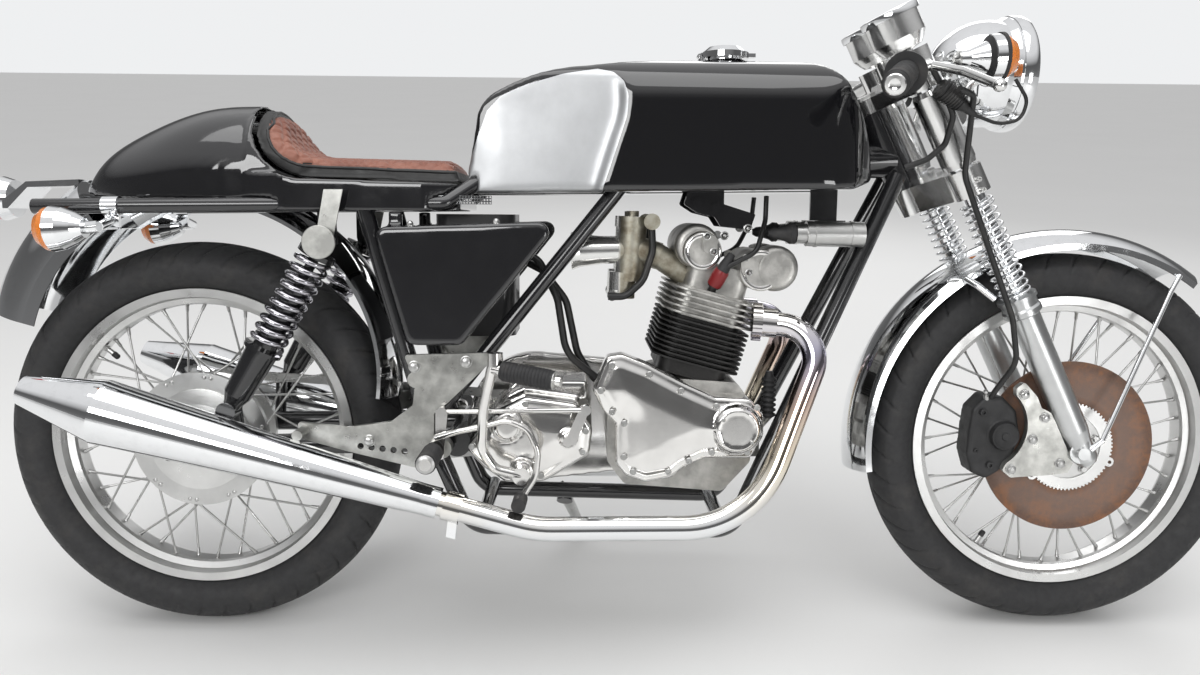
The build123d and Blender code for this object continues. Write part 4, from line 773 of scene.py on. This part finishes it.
def link(work, start, end, inner, outer):
    """Adds one side plate with round ends, from one Y to another."""
    run = (end - start).normalized()
    across = Vector((-run.z, 0, run.x))
    outline = []
    for point, way in ((end, 1), (start, -1)):
        for turn in range(-75, 76, 25):
            t = math.radians(turn)
            outline.append(point + run * (7.0 * math.cos(t) * way) + across * (7.0 * math.sin(t) * way))
    low = [work.verts.new((p.x, inner, p.z)) for p in outline]
    high = [work.verts.new((p.x, outer, p.z)) for p in outline]
    work.faces.new(low)
    work.faces.new(high)
    for i in range(len(low)):
        j = (i + 1) % len(low)
        work.faces.new((low[i], low[j], high[j], high[i]))


def chain(work):
    """Adds all plates, inner and outer by turns, with their pins and rollers."""
    pins = chain_path()
    for k, (a, b) in enumerate(zip(pins, pins[1:] + pins[:1])):
        for side in (-1, 1):
            inner = CHAIN_Y + side * (2.9 if k % 2 else 4.5)
            link(work, Vector((a[0], 0, a[1])), Vector((b[0], 0, b[1])), inner, inner + side * 1.4)
        spin(work, (a[0], CHAIN_Y - 6.0, a[1]), (0, 1, 0), [(0, 0), (0, 2.2), (12, 2.2), (12, 0)], 10)
        spin(work, (a[0], CHAIN_Y - 2.8, a[1]), (0, 1, 0), [(0, 2), (0, 5.0), (5.6, 5.0), (5.6, 2)], 14)


piece("chain_links", mesh_from("chain_links", chain), STEEL, "chassis", 30, ("drive_chain",))

# Screws, nuts and bolts

RIGHT = (0, -1, 0)
LEFT = (0, 1, 0)
LEG_Y = 93.5
ROCKER_NUTS = ((827, 664), (838, 640), (890, 630), (895, 607))


def spots(y, direction, r, height, kind, *places):
    """Rows for bolts, for places given as X and Z on one face."""
    return [((x, y, z), direction, r, height, kind) for x, z in places]


bolts("engine_screws", STEEL, "chassis", (
    spots(-132, RIGHT, 5.2, 3.6, "cap", (677, 464), (660, 424), (678, 390), (697, 372), (697, 318),
          (712, 294), (768, 294), (800, 312), (836, 326), (892, 326), (906, 398), (842, 400),
          (786, 424), (736, 450))
    + spots(-118, RIGHT, 5.0, 3.4, "cap", (456, 330), (486, 303), (520, 281), (566, 283), (632, 322),
            (637, 356), (613, 390), (541, 399), (497, 376))
    + spots(-143, RIGHT, 3.2, 2.2, "cap", (852, 380), (898, 344))
    + spots(142, LEFT, 6.0, 6.0, "hex", (690, 333))
    + spots(142, LEFT, 4.4, 2.6, "cap", (470, 400), (470, 262), (620, 262), (760, 290), (892, 300),
            (892, 372), (760, 384), (620, 400))
    + spots(-88, RIGHT, 4.2, 8.5, "dome", *ROCKER_NUTS)
    + spots(88, LEFT, 4.2, 8.5, "dome", *ROCKER_NUTS)))

frame_rows = []
for side, way in ((-1, RIGHT), (1, LEFT)):
    frame_rows += spots(140 * side, way, 6.5, 9, "hex", (372, 462), (452, 470), (300, 345))
    frame_rows += spots(142 * side, (0, 0, 1), 4.8, 8, "dome", (370, 677.5), (500, 682))
    frame_rows += spots(40 * side, way, 5.0, 6.5, "dome", (862, 664), (900, 676))
bolts("frame_bolts", STEEL, "chassis", frame_rows)
for hand, way in (("right", RIGHT), ("left", LEFT)):
    lathe("strap_disc_" + hand, (239, 162 * way[1], 653), way,
          [(-1.5, 18), (5.0, 18), (5.4, 24.6), (8.2, 25), (9.0, 24.2), (9.0, 0)], PLATE, "chassis", 64)

fork_rows = spots(-100, RIGHT, 6.0, 7, "hex", (1344, 414), (1380, 376), (1410, 300), (1330, 290),
                  (1362, 340))
for side, way in ((-1, RIGHT), (1, LEFT)):
    fork_rows.append((leg(906, LEG_Y * side), UP, 11.5, 12, "hex"))
    for height in (736, 752, 897):
        fork_rows.append((leg(height, LEG_Y * 1.30 * side, 6), way, 4.4, 6.5, "cap"))
fork_rows.append((leg(907, 0, -62), UP, 15, 16, "hex"))
bolts("fork_bolts", STEEL, "fork", fork_rows)

lathe("caliper_piston_cover", (1319, -97, 344), RIGHT,
      [(-2, 21), (0, 22.4), (3.0, 22.0), (3.8, 19.5), (2.6, 17.5), (2.6, 7), (4.4, 6), (4.4, 0)],
      CALIPER, "fork")
lathe("caliper_bleed_nipple", (1290, -84, 404), (-0.3, -0.4, 1),
      [(-3, 0), (-3, 4.6), (6, 4.6), (6, 3), (11, 3), (13, 4.2), (16, 3.4), (17, 0)], STEEL, "fork", 20)
bolts("caliper_bolts", CALIPER, "fork",
      spots(-88, RIGHT, 6, 5, "cap", (1284, 382), (1300, 294))
      + spots(-88, RIGHT, 3.6, 3, "cap", (1276, 318)))
turns = [2 * math.pi * k / 5 + 0.3 for k in range(5)]
bolts("disc_bolts", STEEL, "front_wheel",
      spots(-66, RIGHT, 4.6, 6, "hex",
            *[(WHEELBASE + 46 * math.cos(t), FRONT_R + 46 * math.sin(t)) for t in turns]))

# Wheels

SPOKES = 40
RIM_INNER_R = 221.0
FLANGE_R = 248.7
BEAD_R = 240.0
TREAD_EDGE = 9.0
GROOVE = 3.4
WALL_LINES = ((262, 1.6), (289, 1.4))
AROUND = 660
REAR_AXLE = Vector((0, 0, REAR_R))
FRONT_AXLE = Vector((WHEELBASE, 0, FRONT_R))


def lacing(name, body, centre, near, near_r, far, far_r, cross):
    """Nipples at the rim and heads on the hub's flanges, at the ends of the laced spokes."""

    def build(work):
        for i in range(SPOKES):
            side, flange = ((near, near_r), (far, far_r))[i % 2]
            outer_lace = (i // 2) % 2
            turn = math.radians(360.0 / SPOKES * i)
            start = turn + math.radians(cross if outer_lace else -cross)
            way = 1 if side > 0 else -1
            end_y = way * (8.0 if outer_lace == (side > 0) else 3.0)
            hole = Vector((math.cos(start), 0, math.sin(start)))
            root = centre + hole * flange + Vector((0, side + (1.9 if outer_lace else -1.9), 0))
            tip = centre + Vector((RIM_INNER_R * math.cos(turn), end_y, RIM_INNER_R * math.sin(turn)))
            spin(work, tip, root - tip,
                 [(-2, 0), (-2, 3.4), (1.5, 3.4), (2.5, 2.8), (11, 2.6), (13, 1.9), (13, 0)], 12)
            spin(work, centre + hole * (flange - 5.5) + Vector((0, side + 5 * way, 0)), (0, way, 0),
                 [(-0.5, 0), (-0.5, 3.6), (0.8, 3.4), (1.8, 1.8), (2.0, 0)], 14)

    piece(name, mesh_from(name, build), STEEL, body, 40)


def valve(name, body, centre, turn):
    """Tyre valve with its cap, through the rim between two spokes."""
    out = Vector((math.cos(math.radians(turn)), 0, math.sin(math.radians(turn))))
    root = centre + out * (RIM_INNER_R + 1)
    lathe(name + "_stem", root, -out,
          [(-1, 0), (-1, 6), (2, 6), (2.5, 4.2), (16, 4.2), (16, 0)], STEEL, body, 20)
    lathe(name + "_cap", root, -out, [(14, 0), (14, 4.9), (23, 4.7), (25, 3), (25, 0)], RUBBER, body, 20)


def groove(y, turn, outer, shoulder_y, pitches):
    """Depth of the tread at a place: slanted grooves in each half and a waved one in the middle."""
    pitch = 2 * math.pi / pitches
    phase = turn + math.copysign(pitch * 0.25, y) - abs(y) / outer * 0.9
    slanted = abs((phase / pitch) % 1.0 - 0.5) * pitch * outer
    waved = abs(y - 3.0 * math.sin(turn * pitches * 0.5))
    depth = max(0.0, 1 - max(0.0, waved - 1.4) / 1.2)
    if abs(y) > shoulder_y * 0.22:
        depth = max(depth, 1 - max(0.0, slanted - 1.6) / 1.4)
    return GROOVE * depth


def tyre(node, body, centre, outer, half, bead, crown_angle, pitches):
    """Carcass turned from the same profile as the construction, with grooves cut in its tread."""
    angle = math.radians(crown_angle)
    shoulder_y = CROWN * math.sin(angle)
    shoulder_r = outer - CROWN * (1 - math.cos(angle))
    wall = arc3((bead, FLANGE_R + 1), (half, shoulder_r - 22), (shoulder_y, shoulder_r), 14)
    tread = arc3((shoulder_y, shoulder_r), (0, outer), (-shoulder_y, shoulder_r), 54)
    far_wall = [(-y, r) for y, r in reversed(wall)]
    profile = [(bead, BEAD_R)] + wall + tread[1:] + far_wall[1:] + [(-bead, BEAD_R)]
    places = []
    for k in range(AROUND):
        turn = 2 * math.pi * k / AROUND
        for y, r in profile:
            if r > shoulder_r - TREAD_EDGE:
                r -= groove(y, turn, outer, shoulder_y, pitches)
            else:
                low, high = (math.exp(-((r - at) / wide) ** 2) for at, wide in WALL_LINES)
                y += math.copysign(0.9 * low + 0.7 * high, y)
            places.append((centre[0] + r * math.cos(turn), y, centre[1] + r * math.sin(turn)))
    n = len(profile)
    faces = [(k * n + i, k * n + i + 1, (k + 1) % AROUND * n + i + 1, (k + 1) % AROUND * n + i)
             for k in range(AROUND) for i in range(n - 1)]
    mesh = bpy.data.meshes.new(node + "_treaded")
    mesh.from_pydata(places, [], faces)
    mesh.update()
    piece(node + "_treaded", mesh, TYRE, body, 50, (node,))


lacing("rear_lacing", "rear_wheel", REAR_AXLE, -44, 109.5, 37, 95.5, 24)
lacing("front_lacing", "front_wheel", FRONT_AXLE, -36, 55.4, 35, 47.4, 50)
valve("rear_valve", "rear_wheel", REAR_AXLE, 139.5)
valve("front_valve", "front_wheel", FRONT_AXLE, 238.5)
tyre("rear_tyre", "rear_wheel", (0, REAR_R), REAR_R, 55, 34, 52, 44)
tyre("front_tyre", "front_wheel", (WHEELBASE, FRONT_R), FRONT_R, 50, 30, 47, 42)

# Covers with their swells

TIMING = [(669, 477), (647, 424), (663, 391), (684, 370), (684, 305), (700, 285), (732, 274), (773, 282),
          (793, 299), (826, 314), (899, 314), (919, 350), (918, 384), (897, 410), (840, 413), (787, 437),
          (734, 465), (693, 481)]
GEARBOX = [(444, 326), (475, 293), (509, 270), (571, 271), (643, 316), (648, 359), (623, 399), (539, 410),
           (491, 386)]
COVERS = (
    # node, outline, face's Y, depth of its flange, rise of its middle, round bosses that stay
    ("timing_cover", TIMING, -132, 4.5, 3.5, [(875, 362, 39)]),
    ("gearbox", GEARBOX, -118, 3.0, 2.0, [(512, 362, 26), (537, 293, 20), (609, 345, 16)]),
)


def ease(t):
    t = max(0.0, min(1.0, t))
    return t * t * (3 - 2 * t)


for node, outline, face, flange, rise, bosses in COVERS:
    cover = rounded(copied(node, node + "_swelled"), 2.4, 4)
    for vertex in cover.vertices:
        p = vertex.co
        if p.y > face + 7 or any(math.hypot(p.x - x, p.z - z) < r for x, z, r in bosses):
            continue
        d = edge_distance(outline, p.x, p.z)
        p.y += flange * (1 - ease((d - 8) / 13)) - rise * ease((d - 18) / 36)
    piece(node + "_swelled", changed(cover, soft(6)), COVER, "chassis", 60, (node,))

# Gauges

DIAL = gloss_paint("gauge_face", (0.012, 0.012, 0.013), 0.5, 0.0)
MARKS = rubber("gauge_marks", (0.75, 0.75, 0.72), 0.5, (0.6, 0.6, 0.55))
NEEDLE = rubber("gauge_needle", (0.75, 0.16, 0.05), 0.4, (0.6, 0.2, 0.1))


def flat_bar(work, a, b, wide, thick, lift):
    """Adds a thin bar that lies on a gauge face."""
    across = UP.cross((b - a).normalized()).normalized() * wide / 2
    low = [a - across, a + across, b + across, b - across]
    bottom = [work.verts.new(p + UP * lift) for p in low]
    top = [work.verts.new(p + UP * (lift + thick)) for p in low]
    work.faces.new(bottom[::-1])
    work.faces.new(top)
    for i in range(4):
        j = (i + 1) % 4
        work.faces.new((bottom[i], bottom[j], top[j], top[i]))


def gauge(hand, y, rest):
    """Bezel, face, marks, needle and glass of one instrument; rest is where its needle points."""
    top = leg(1010, y, 6)
    a = Vector((0, 1, 0))
    b = UP.cross(a).normalized()

    def on_face(turn, r):
        t = math.radians(turn)
        return top + (a * math.sin(t) + b * math.cos(t)) * r

    def marks(work):
        for k in range(31):
            start, wide = (31, 0.9) if k % 5 else (27, 1.7)
            flat_bar(work, on_face(-135 + 9 * k, start), on_face(-135 + 9 * k, 36), wide, 0.2, 0.6)

    def needle(work):
        flat_bar(work, on_face(rest + 180, 7), on_face(rest, 31), 1.6, 0.6, 1.2)
        spin(work, top + UP * 0.5, UP, [(0, 0), (0, 4.2), (1.8, 4.0), (2.2, 0)], 24)

    lathe("gauge_bezel_" + hand, top, UP,
          [(-9, 44), (-9, 46.2), (-1, 46.6), (1.6, 45.4), (2.2, 42.4), (0.6, 41)], CHROME, "fork", 64)
    lathe("gauge_face_" + hand, top, UP, [(0.5, 41.4), (0.5, 8), (0.5, 0)], DIAL, "fork", 48)
    piece("gauge_marks_" + hand, mesh_from("marks", marks), MARKS, "fork")
    piece("gauge_needle_" + hand, mesh_from("needle", needle), NEEDLE, "fork")
    lathe("gauge_glass_" + hand, top, UP,
          [(1.2, 42), (2.6, 30), (3.6, 12), (3.8, 0)], GAUGE_GLASS, "fork", 48)


gauge("right", -54, 215)
gauge("left", 54, 235)

# Springs

SPRING_STEEL = chrome("spring_plate")


def coil(name, start, end, r, wire, turns, material, body):
    """Coil spring with closed ends."""
    run = end - start
    a, b = side_axes(run.normalized())
    steps = int((turns + 2) * 20)
    places = []
    for k in range(steps + 1):
        t = k / steps * (turns + 2)
        share = (wire * 2 * min(t, 1) + (run.length - wire * 4) * max(0.0, min(1.0, (t - 1) / turns))
                 + wire * 2 * max(0.0, t - turns - 1)) / run.length
        turn = 2 * math.pi * t
        places.append(start + run * share + (a * math.cos(turn) + b * math.sin(turn)) * r)
    return strand(name, "POLY", places, wire, 3, material, body)


for hand, y in (("left", LEG_Y), ("right", -LEG_Y)):
    spring = coil("fork_spring_" + hand, leg(575.5, y), leg(720, y), 24.6, 2.1, 12, SPRING_STEEL, "fork")
    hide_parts("fork_springs")

# Lamps

HEADLAMP = (1288, 0, 930)
AHEAD_X = (1, 0, 0)
lathe("headlamp_rim", HEADLAMP, AHEAD_X,
      [(27, 89), (28, 91.4), (33, 92.8), (43, 93), (49, 91), (52.5, 87), (51, 84), (45, 84)],
      CHROME, "fork", 96)
lathe("headlamp_reflector", HEADLAMP, AHEAD_X,
      [(43, 83), (34, 77), (22, 67), (8, 52), (-5, 34), (-12, 17), (-14, 0)], CHROME, "fork", 72)
lathe("headlamp_bulb", HEADLAMP, AHEAD_X,
      [(-13, 11), (-2, 11), (0, 7), (10, 9.5), (18, 9), (24, 5), (26, 0)], BRASS, "fork", 24)
for hand, y in (("right", -168), ("left", 168)):
    for name, profile, finish in (
            ("gasket", [(59.5, 33), (60, 35.6), (64.5, 35.8), (65, 33)], RUBBER),
            ("band", [(39, 23), (40.5, 25.6), (44.5, 31.6), (46, 32)], RUBBER),
            ("boss", [(-6, 0), (-6, 5), (-2, 8), (0, 11.4), (3, 11.8)], STEEL)):
        lathe(f"indicator_{name}_{hand}", (1178, y, 926), (80, 0, 4), profile, finish, "fork")

# Rubber with ribs


def ribbed(name, a, b, r, pitch, high, body):
    """Sleeve of moulded rings."""
    length = (b - a).length
    profile = [(0.5, r - 3)]
    for k in range(int(length / pitch)):
        s = 1.0 + k * pitch
        profile += [(s, r), (s + pitch * 0.2, r + high), (s + pitch * 0.65, r + high),
                    (s + pitch * 0.85, r)]
    profile.append((length - 0.3, r - 1))
    lathe(name, a, b - a, profile, RUBBER, body, 36, 50)


def bellows(start, pitch, count, taper, fold):
    """Profile of equal folds, each given as pairs of distance and radius."""
    return [(start + k * pitch + d, r - k * taper) for k in range(count) for d, r in fold]


for hand, side in (("right", -1), ("left", 1)):
    root, tip = Vector((1132.8, 112 * side, 926)), Vector((1034, 330 * side, 866))
    run = (tip - root).normalized()
    ribbed("grip_ribs_" + hand, root.lerp(tip, 0.44) + run * 7, tip - run * 6, 17.6, 4.6, 0.9, "fork")
    lathe("bar_end_" + hand, tip, run,
          [(-1.5, 9), (-1, 13.4), (1.5, 14.2), (3.2, 12.6), (3.6, 8), (2.2, 6), (2.0, 0)],
          POLISHED, "fork")
    inner, outer = Vector((402, 164 * side, 332)), Vector((402, 230 * side, 332))
    ribbed("peg_ribs_" + hand, inner, outer, 14.2, 6.0, 1.6, "chassis")
    lathe("peg_end_" + hand, (402, 232 * side, 332), (0, side, 0),
          [(-1, 13), (0.5, 14), (2, 12), (2.6, 0)], STEEL, "chassis")
ribbed("kick_ribs", Vector((513, -187.6, 463.8)), Vector((588, -212.4, 454.2)), 14.3, 5.4, 1.2, "chassis")
lathe("kick_end", (590, -213, 454), (79, -26, -10),
      [(-1, 14), (1, 13.6), (2.4, 10), (2.8, 0)], STEEL, "chassis")
lathe("cable_boot", (1150, -176, 886), (56, 4, -40),
      [(2, 12)] + bellows(4, 4.4, 9, 0.5, ((0, 13.2), (1.6, 17.4), (3.0, 13.2)))
      + [(46, 8), (56, 6.6), (68, 4.6)], RUBBER, "fork", 32, 60)

# Engine dressing

for hand, side in (("right", -1), ("left", 1)):
    plug = Vector((839, 86 * side, 585))
    run = Vector((13, 12 * side, 27)).normalized()
    lathe("plug_cap_" + hand, plug, run,
          [(2, 9), (3, 11.8), (16, 12.6), (29, 12.0), (33, 9.5), (34, 0)], RED_CAP, "chassis", 32)
    lathe("plug_elbow_" + hand, plug + run * 30, (15, -3 * side, 26),
          [(-4, 7), (-2, 10.4), (10, 9.6), (22, 7.4), (30, 6), (31, 4)], RUBBER, "chassis", 28)
    for k, (x, z, r) in enumerate(((822, 640, 30), (915, 610, 33))):
        lathe(f"rocker_ring_{hand}_{k}", (x, 82 * side, z), (0, side, 0),
              [(-1, r - 1), (0.6, r - 1.4), (1.4, r - 3), (1.0, r - 6), (0.2, r - 8)], COVER, "chassis")
    lathe("coil_boot_" + hand, (964, 70 * side, 669), (-1, 0, 0),
          [(-6, 9), (-6, 16.6), (2, 17), (8, 13), (20, 9.5), (30, 8.4), (36, 5), (36, 0)],
          RUBBER, "chassis", 32)
    for k, x in enumerate((1000, 1058)):
        lathe(f"coil_band_{hand}_{k}", (x, 70 * side, 668.6), (1, 0, 0),
              [(0, 19), (0.4, 21), (5.6, 21), (6, 19)], STEEL, "chassis")
lathe("carb_drain", (706, -40, 584), (0, 0, -1),
      [(-4, 0), (-4, 9), (4, 9), (6, 7), (12, 6), (13, 0)], BRASS, "chassis", 6)
BREATHER = (938, -62, 366)
lathe("engine_breather_boot", BREATHER, (0, 0, 1),
      [(0, 6)] + bellows(2, 8.4, 8, 0, ((0, 8.6), (2.4, 12.4), (5.0, 12.4), (7.2, 8.6)))
      + [(72, 7), (78, 6), (78, 0)], RUBBER, "chassis", 32, 60)
lathe("engine_breather_stem", BREATHER, (-18, 10, -26),
      [(-4, 0), (-4, 5), (44, 5), (44, 0)], STEEL, "chassis", 20)


def mesh_strip(work):
    """Adds a thin strip with round holes, an eight-sided ring of faces round each."""
    cell, hole, y = 4.4, 1.5, -123
    for i in range(24):
        for j in range(3):
            x0, z0 = 388 + i * cell, 713 + j * cell
            outer, inner = [], []
            for k in range(8):
                t = math.pi / 4 * k
                reach = cell / 2 / max(abs(math.cos(t)), abs(math.sin(t)))
                for ring, r in ((outer, reach), (inner, hole)):
                    ring.append(work.verts.new((x0 + r * math.cos(t), y, z0 + r * math.sin(t))))
            for k in range(8):
                n = (k + 1) % 8
                work.faces.new((outer[k], outer[n], inner[n], inner[k]))
    bmesh.ops.remove_doubles(work, verts=work.verts, dist=0.05)
    bmesh.ops.solidify(work, geom=work.faces[:], thickness=0.9)


piece("perforated_strip", mesh_from("perforated_strip", mesh_strip), CHROME, "chassis")

# Light, floor and camera

FLOOR_HALF = 30.0
ROOM_GREYS = ((0.0, 0.22), (0.12, 0.15), (0.30, 0.12), (0.44, 0.55), (0.62, 0.90), (1.0, 1.0))
ROOM_STRENGTH = 0.85
BACKGROUND = (0.86, 0.87, 0.88, 1)
LAMPS = (
    # name, place, aim, width and height, power in watts
    ("soft_top", (-0.3, -0.6, 3.4), (0, 0, 0.4), (3.6, 2.2), 46),
    ("soft_side", (-1.6, -3.6, 2.3), (0, 0, 0.4), (2.2, 1.2), 54),
    ("soft_low", (1.8, -3.0, 0.7), (0.2, 0, 0.4), (0.9, 0.9), 14),
    ("soft_back", (1.4, 3.2, 2.2), (0, 0, 0.5), (2.6, 1.6), 22),
)
EYE = Vector((631.7, -1538.6, 693.9))
YAW, PITCH, ROLL_ANGLE = (math.radians(a) for a in (1.08, 7.46, 0.42))
FRAME_PX = 1200
FOCAL_PX = 914.8
HALF_HEIGHT_PX = 337.5
AXIS_PX = 336.2
FILM = 36.0


def backdrop():
    """Plain pale floor."""
    mesh = bpy.data.meshes.new("floor")
    corners = [(x * FLOOR_HALF, y * FLOOR_HALF, 0) for x, y in ((-1, -1), (1, -1), (1, 1), (-1, 1))]
    mesh.from_pydata(corners, [], [(0, 1, 2, 3)])
    p = Paint("floor_pale", Roughness=0.6)
    p.put("Base Color", p.blend(p.noise(1.2, 4), (0.80, 0.80, 0.79), (0.84, 0.84, 0.83)))
    mesh.materials.append(p.material)
    placed("floor", mesh)


def room():
    """Pale room: bright above, darker towards the sides, and one plain colour behind the machine."""
    world = bpy.data.worlds.new("room")
    bpy.context.scene.world = world
    world.use_nodes = True
    tree = world.node_tree
    ground = tree.nodes["Background"]
    spot = tree.nodes.new("ShaderNodeTexCoord")
    part = tree.nodes.new("ShaderNodeSeparateXYZ")
    tree.links.new(spot.outputs["Generated"], part.inputs[0])
    band = tree.nodes.new("ShaderNodeValToRGB")
    tree.links.new(part.outputs["Z"], band.inputs["Fac"])
    while len(band.color_ramp.elements) < len(ROOM_GREYS):
        band.color_ramp.elements.new(0.5)
    for element, (at, grey) in zip(band.color_ramp.elements, ROOM_GREYS):
        element.position = at
        element.color = (grey, grey, grey * 1.01, 1)
    ground.inputs["Strength"].default_value = ROOM_STRENGTH
    tree.links.new(band.outputs["Color"], ground.inputs["Color"])
    pale = tree.nodes.new("ShaderNodeBackground")
    pale.inputs["Color"].default_value = BACKGROUND
    ray = tree.nodes.new("ShaderNodeLightPath")
    mix = tree.nodes.new("ShaderNodeMixShader")
    tree.links.new(ray.outputs["Is Camera Ray"], mix.inputs[0])
    tree.links.new(ground.outputs[0], mix.inputs[1])
    tree.links.new(pale.outputs[0], mix.inputs[2])
    tree.links.new(mix.outputs[0], tree.nodes["World Output"].inputs["Surface"])


def lamp(name, at, aim, size, power):
    """Soft box."""
    data = bpy.data.lights.new(name, "AREA")
    data.shape = "RECTANGLE"
    data.size, data.size_y = size
    data.energy = power
    obj = placed(name, data)
    obj.location = at
    obj.rotation_euler = (Vector(aim) - Vector(at)).to_track_quat("-Z", "Y").to_euler()


def camera():
    """The photograph's camera, worked out in the upright frame."""
    ahead = Vector((math.sin(YAW) * math.cos(PITCH), math.cos(YAW) * math.cos(PITCH), -math.sin(PITCH)))
    right = Vector((math.cos(YAW), -math.sin(YAW), 0))
    up = right.cross(ahead)
    turned_right = right * math.cos(ROLL_ANGLE) + up * math.sin(ROLL_ANGLE)
    turned_up = up * math.cos(ROLL_ANGLE) - right * math.sin(ROLL_ANGLE)
    lean = STANCE.to_3x3().normalized()
    axes = Matrix((lean @ turned_right, lean @ turned_up, lean @ -ahead)).transposed().to_4x4()
    data = bpy.data.cameras.new("camera")
    data.lens = FOCAL_PX / FRAME_PX * FILM
    data.sensor_width = FILM
    data.shift_y = (AXIS_PX - HALF_HEIGHT_PX) / FRAME_PX
    obj = placed("camera", data)
    obj.matrix_world = Matrix.Translation(STANCE @ EYE) @ axes
    bpy.context.scene.camera = obj


backdrop()
room()
for row in LAMPS:
    lamp(*row)
camera()
bpy.context.scene.view_settings.view_transform = "Standard"
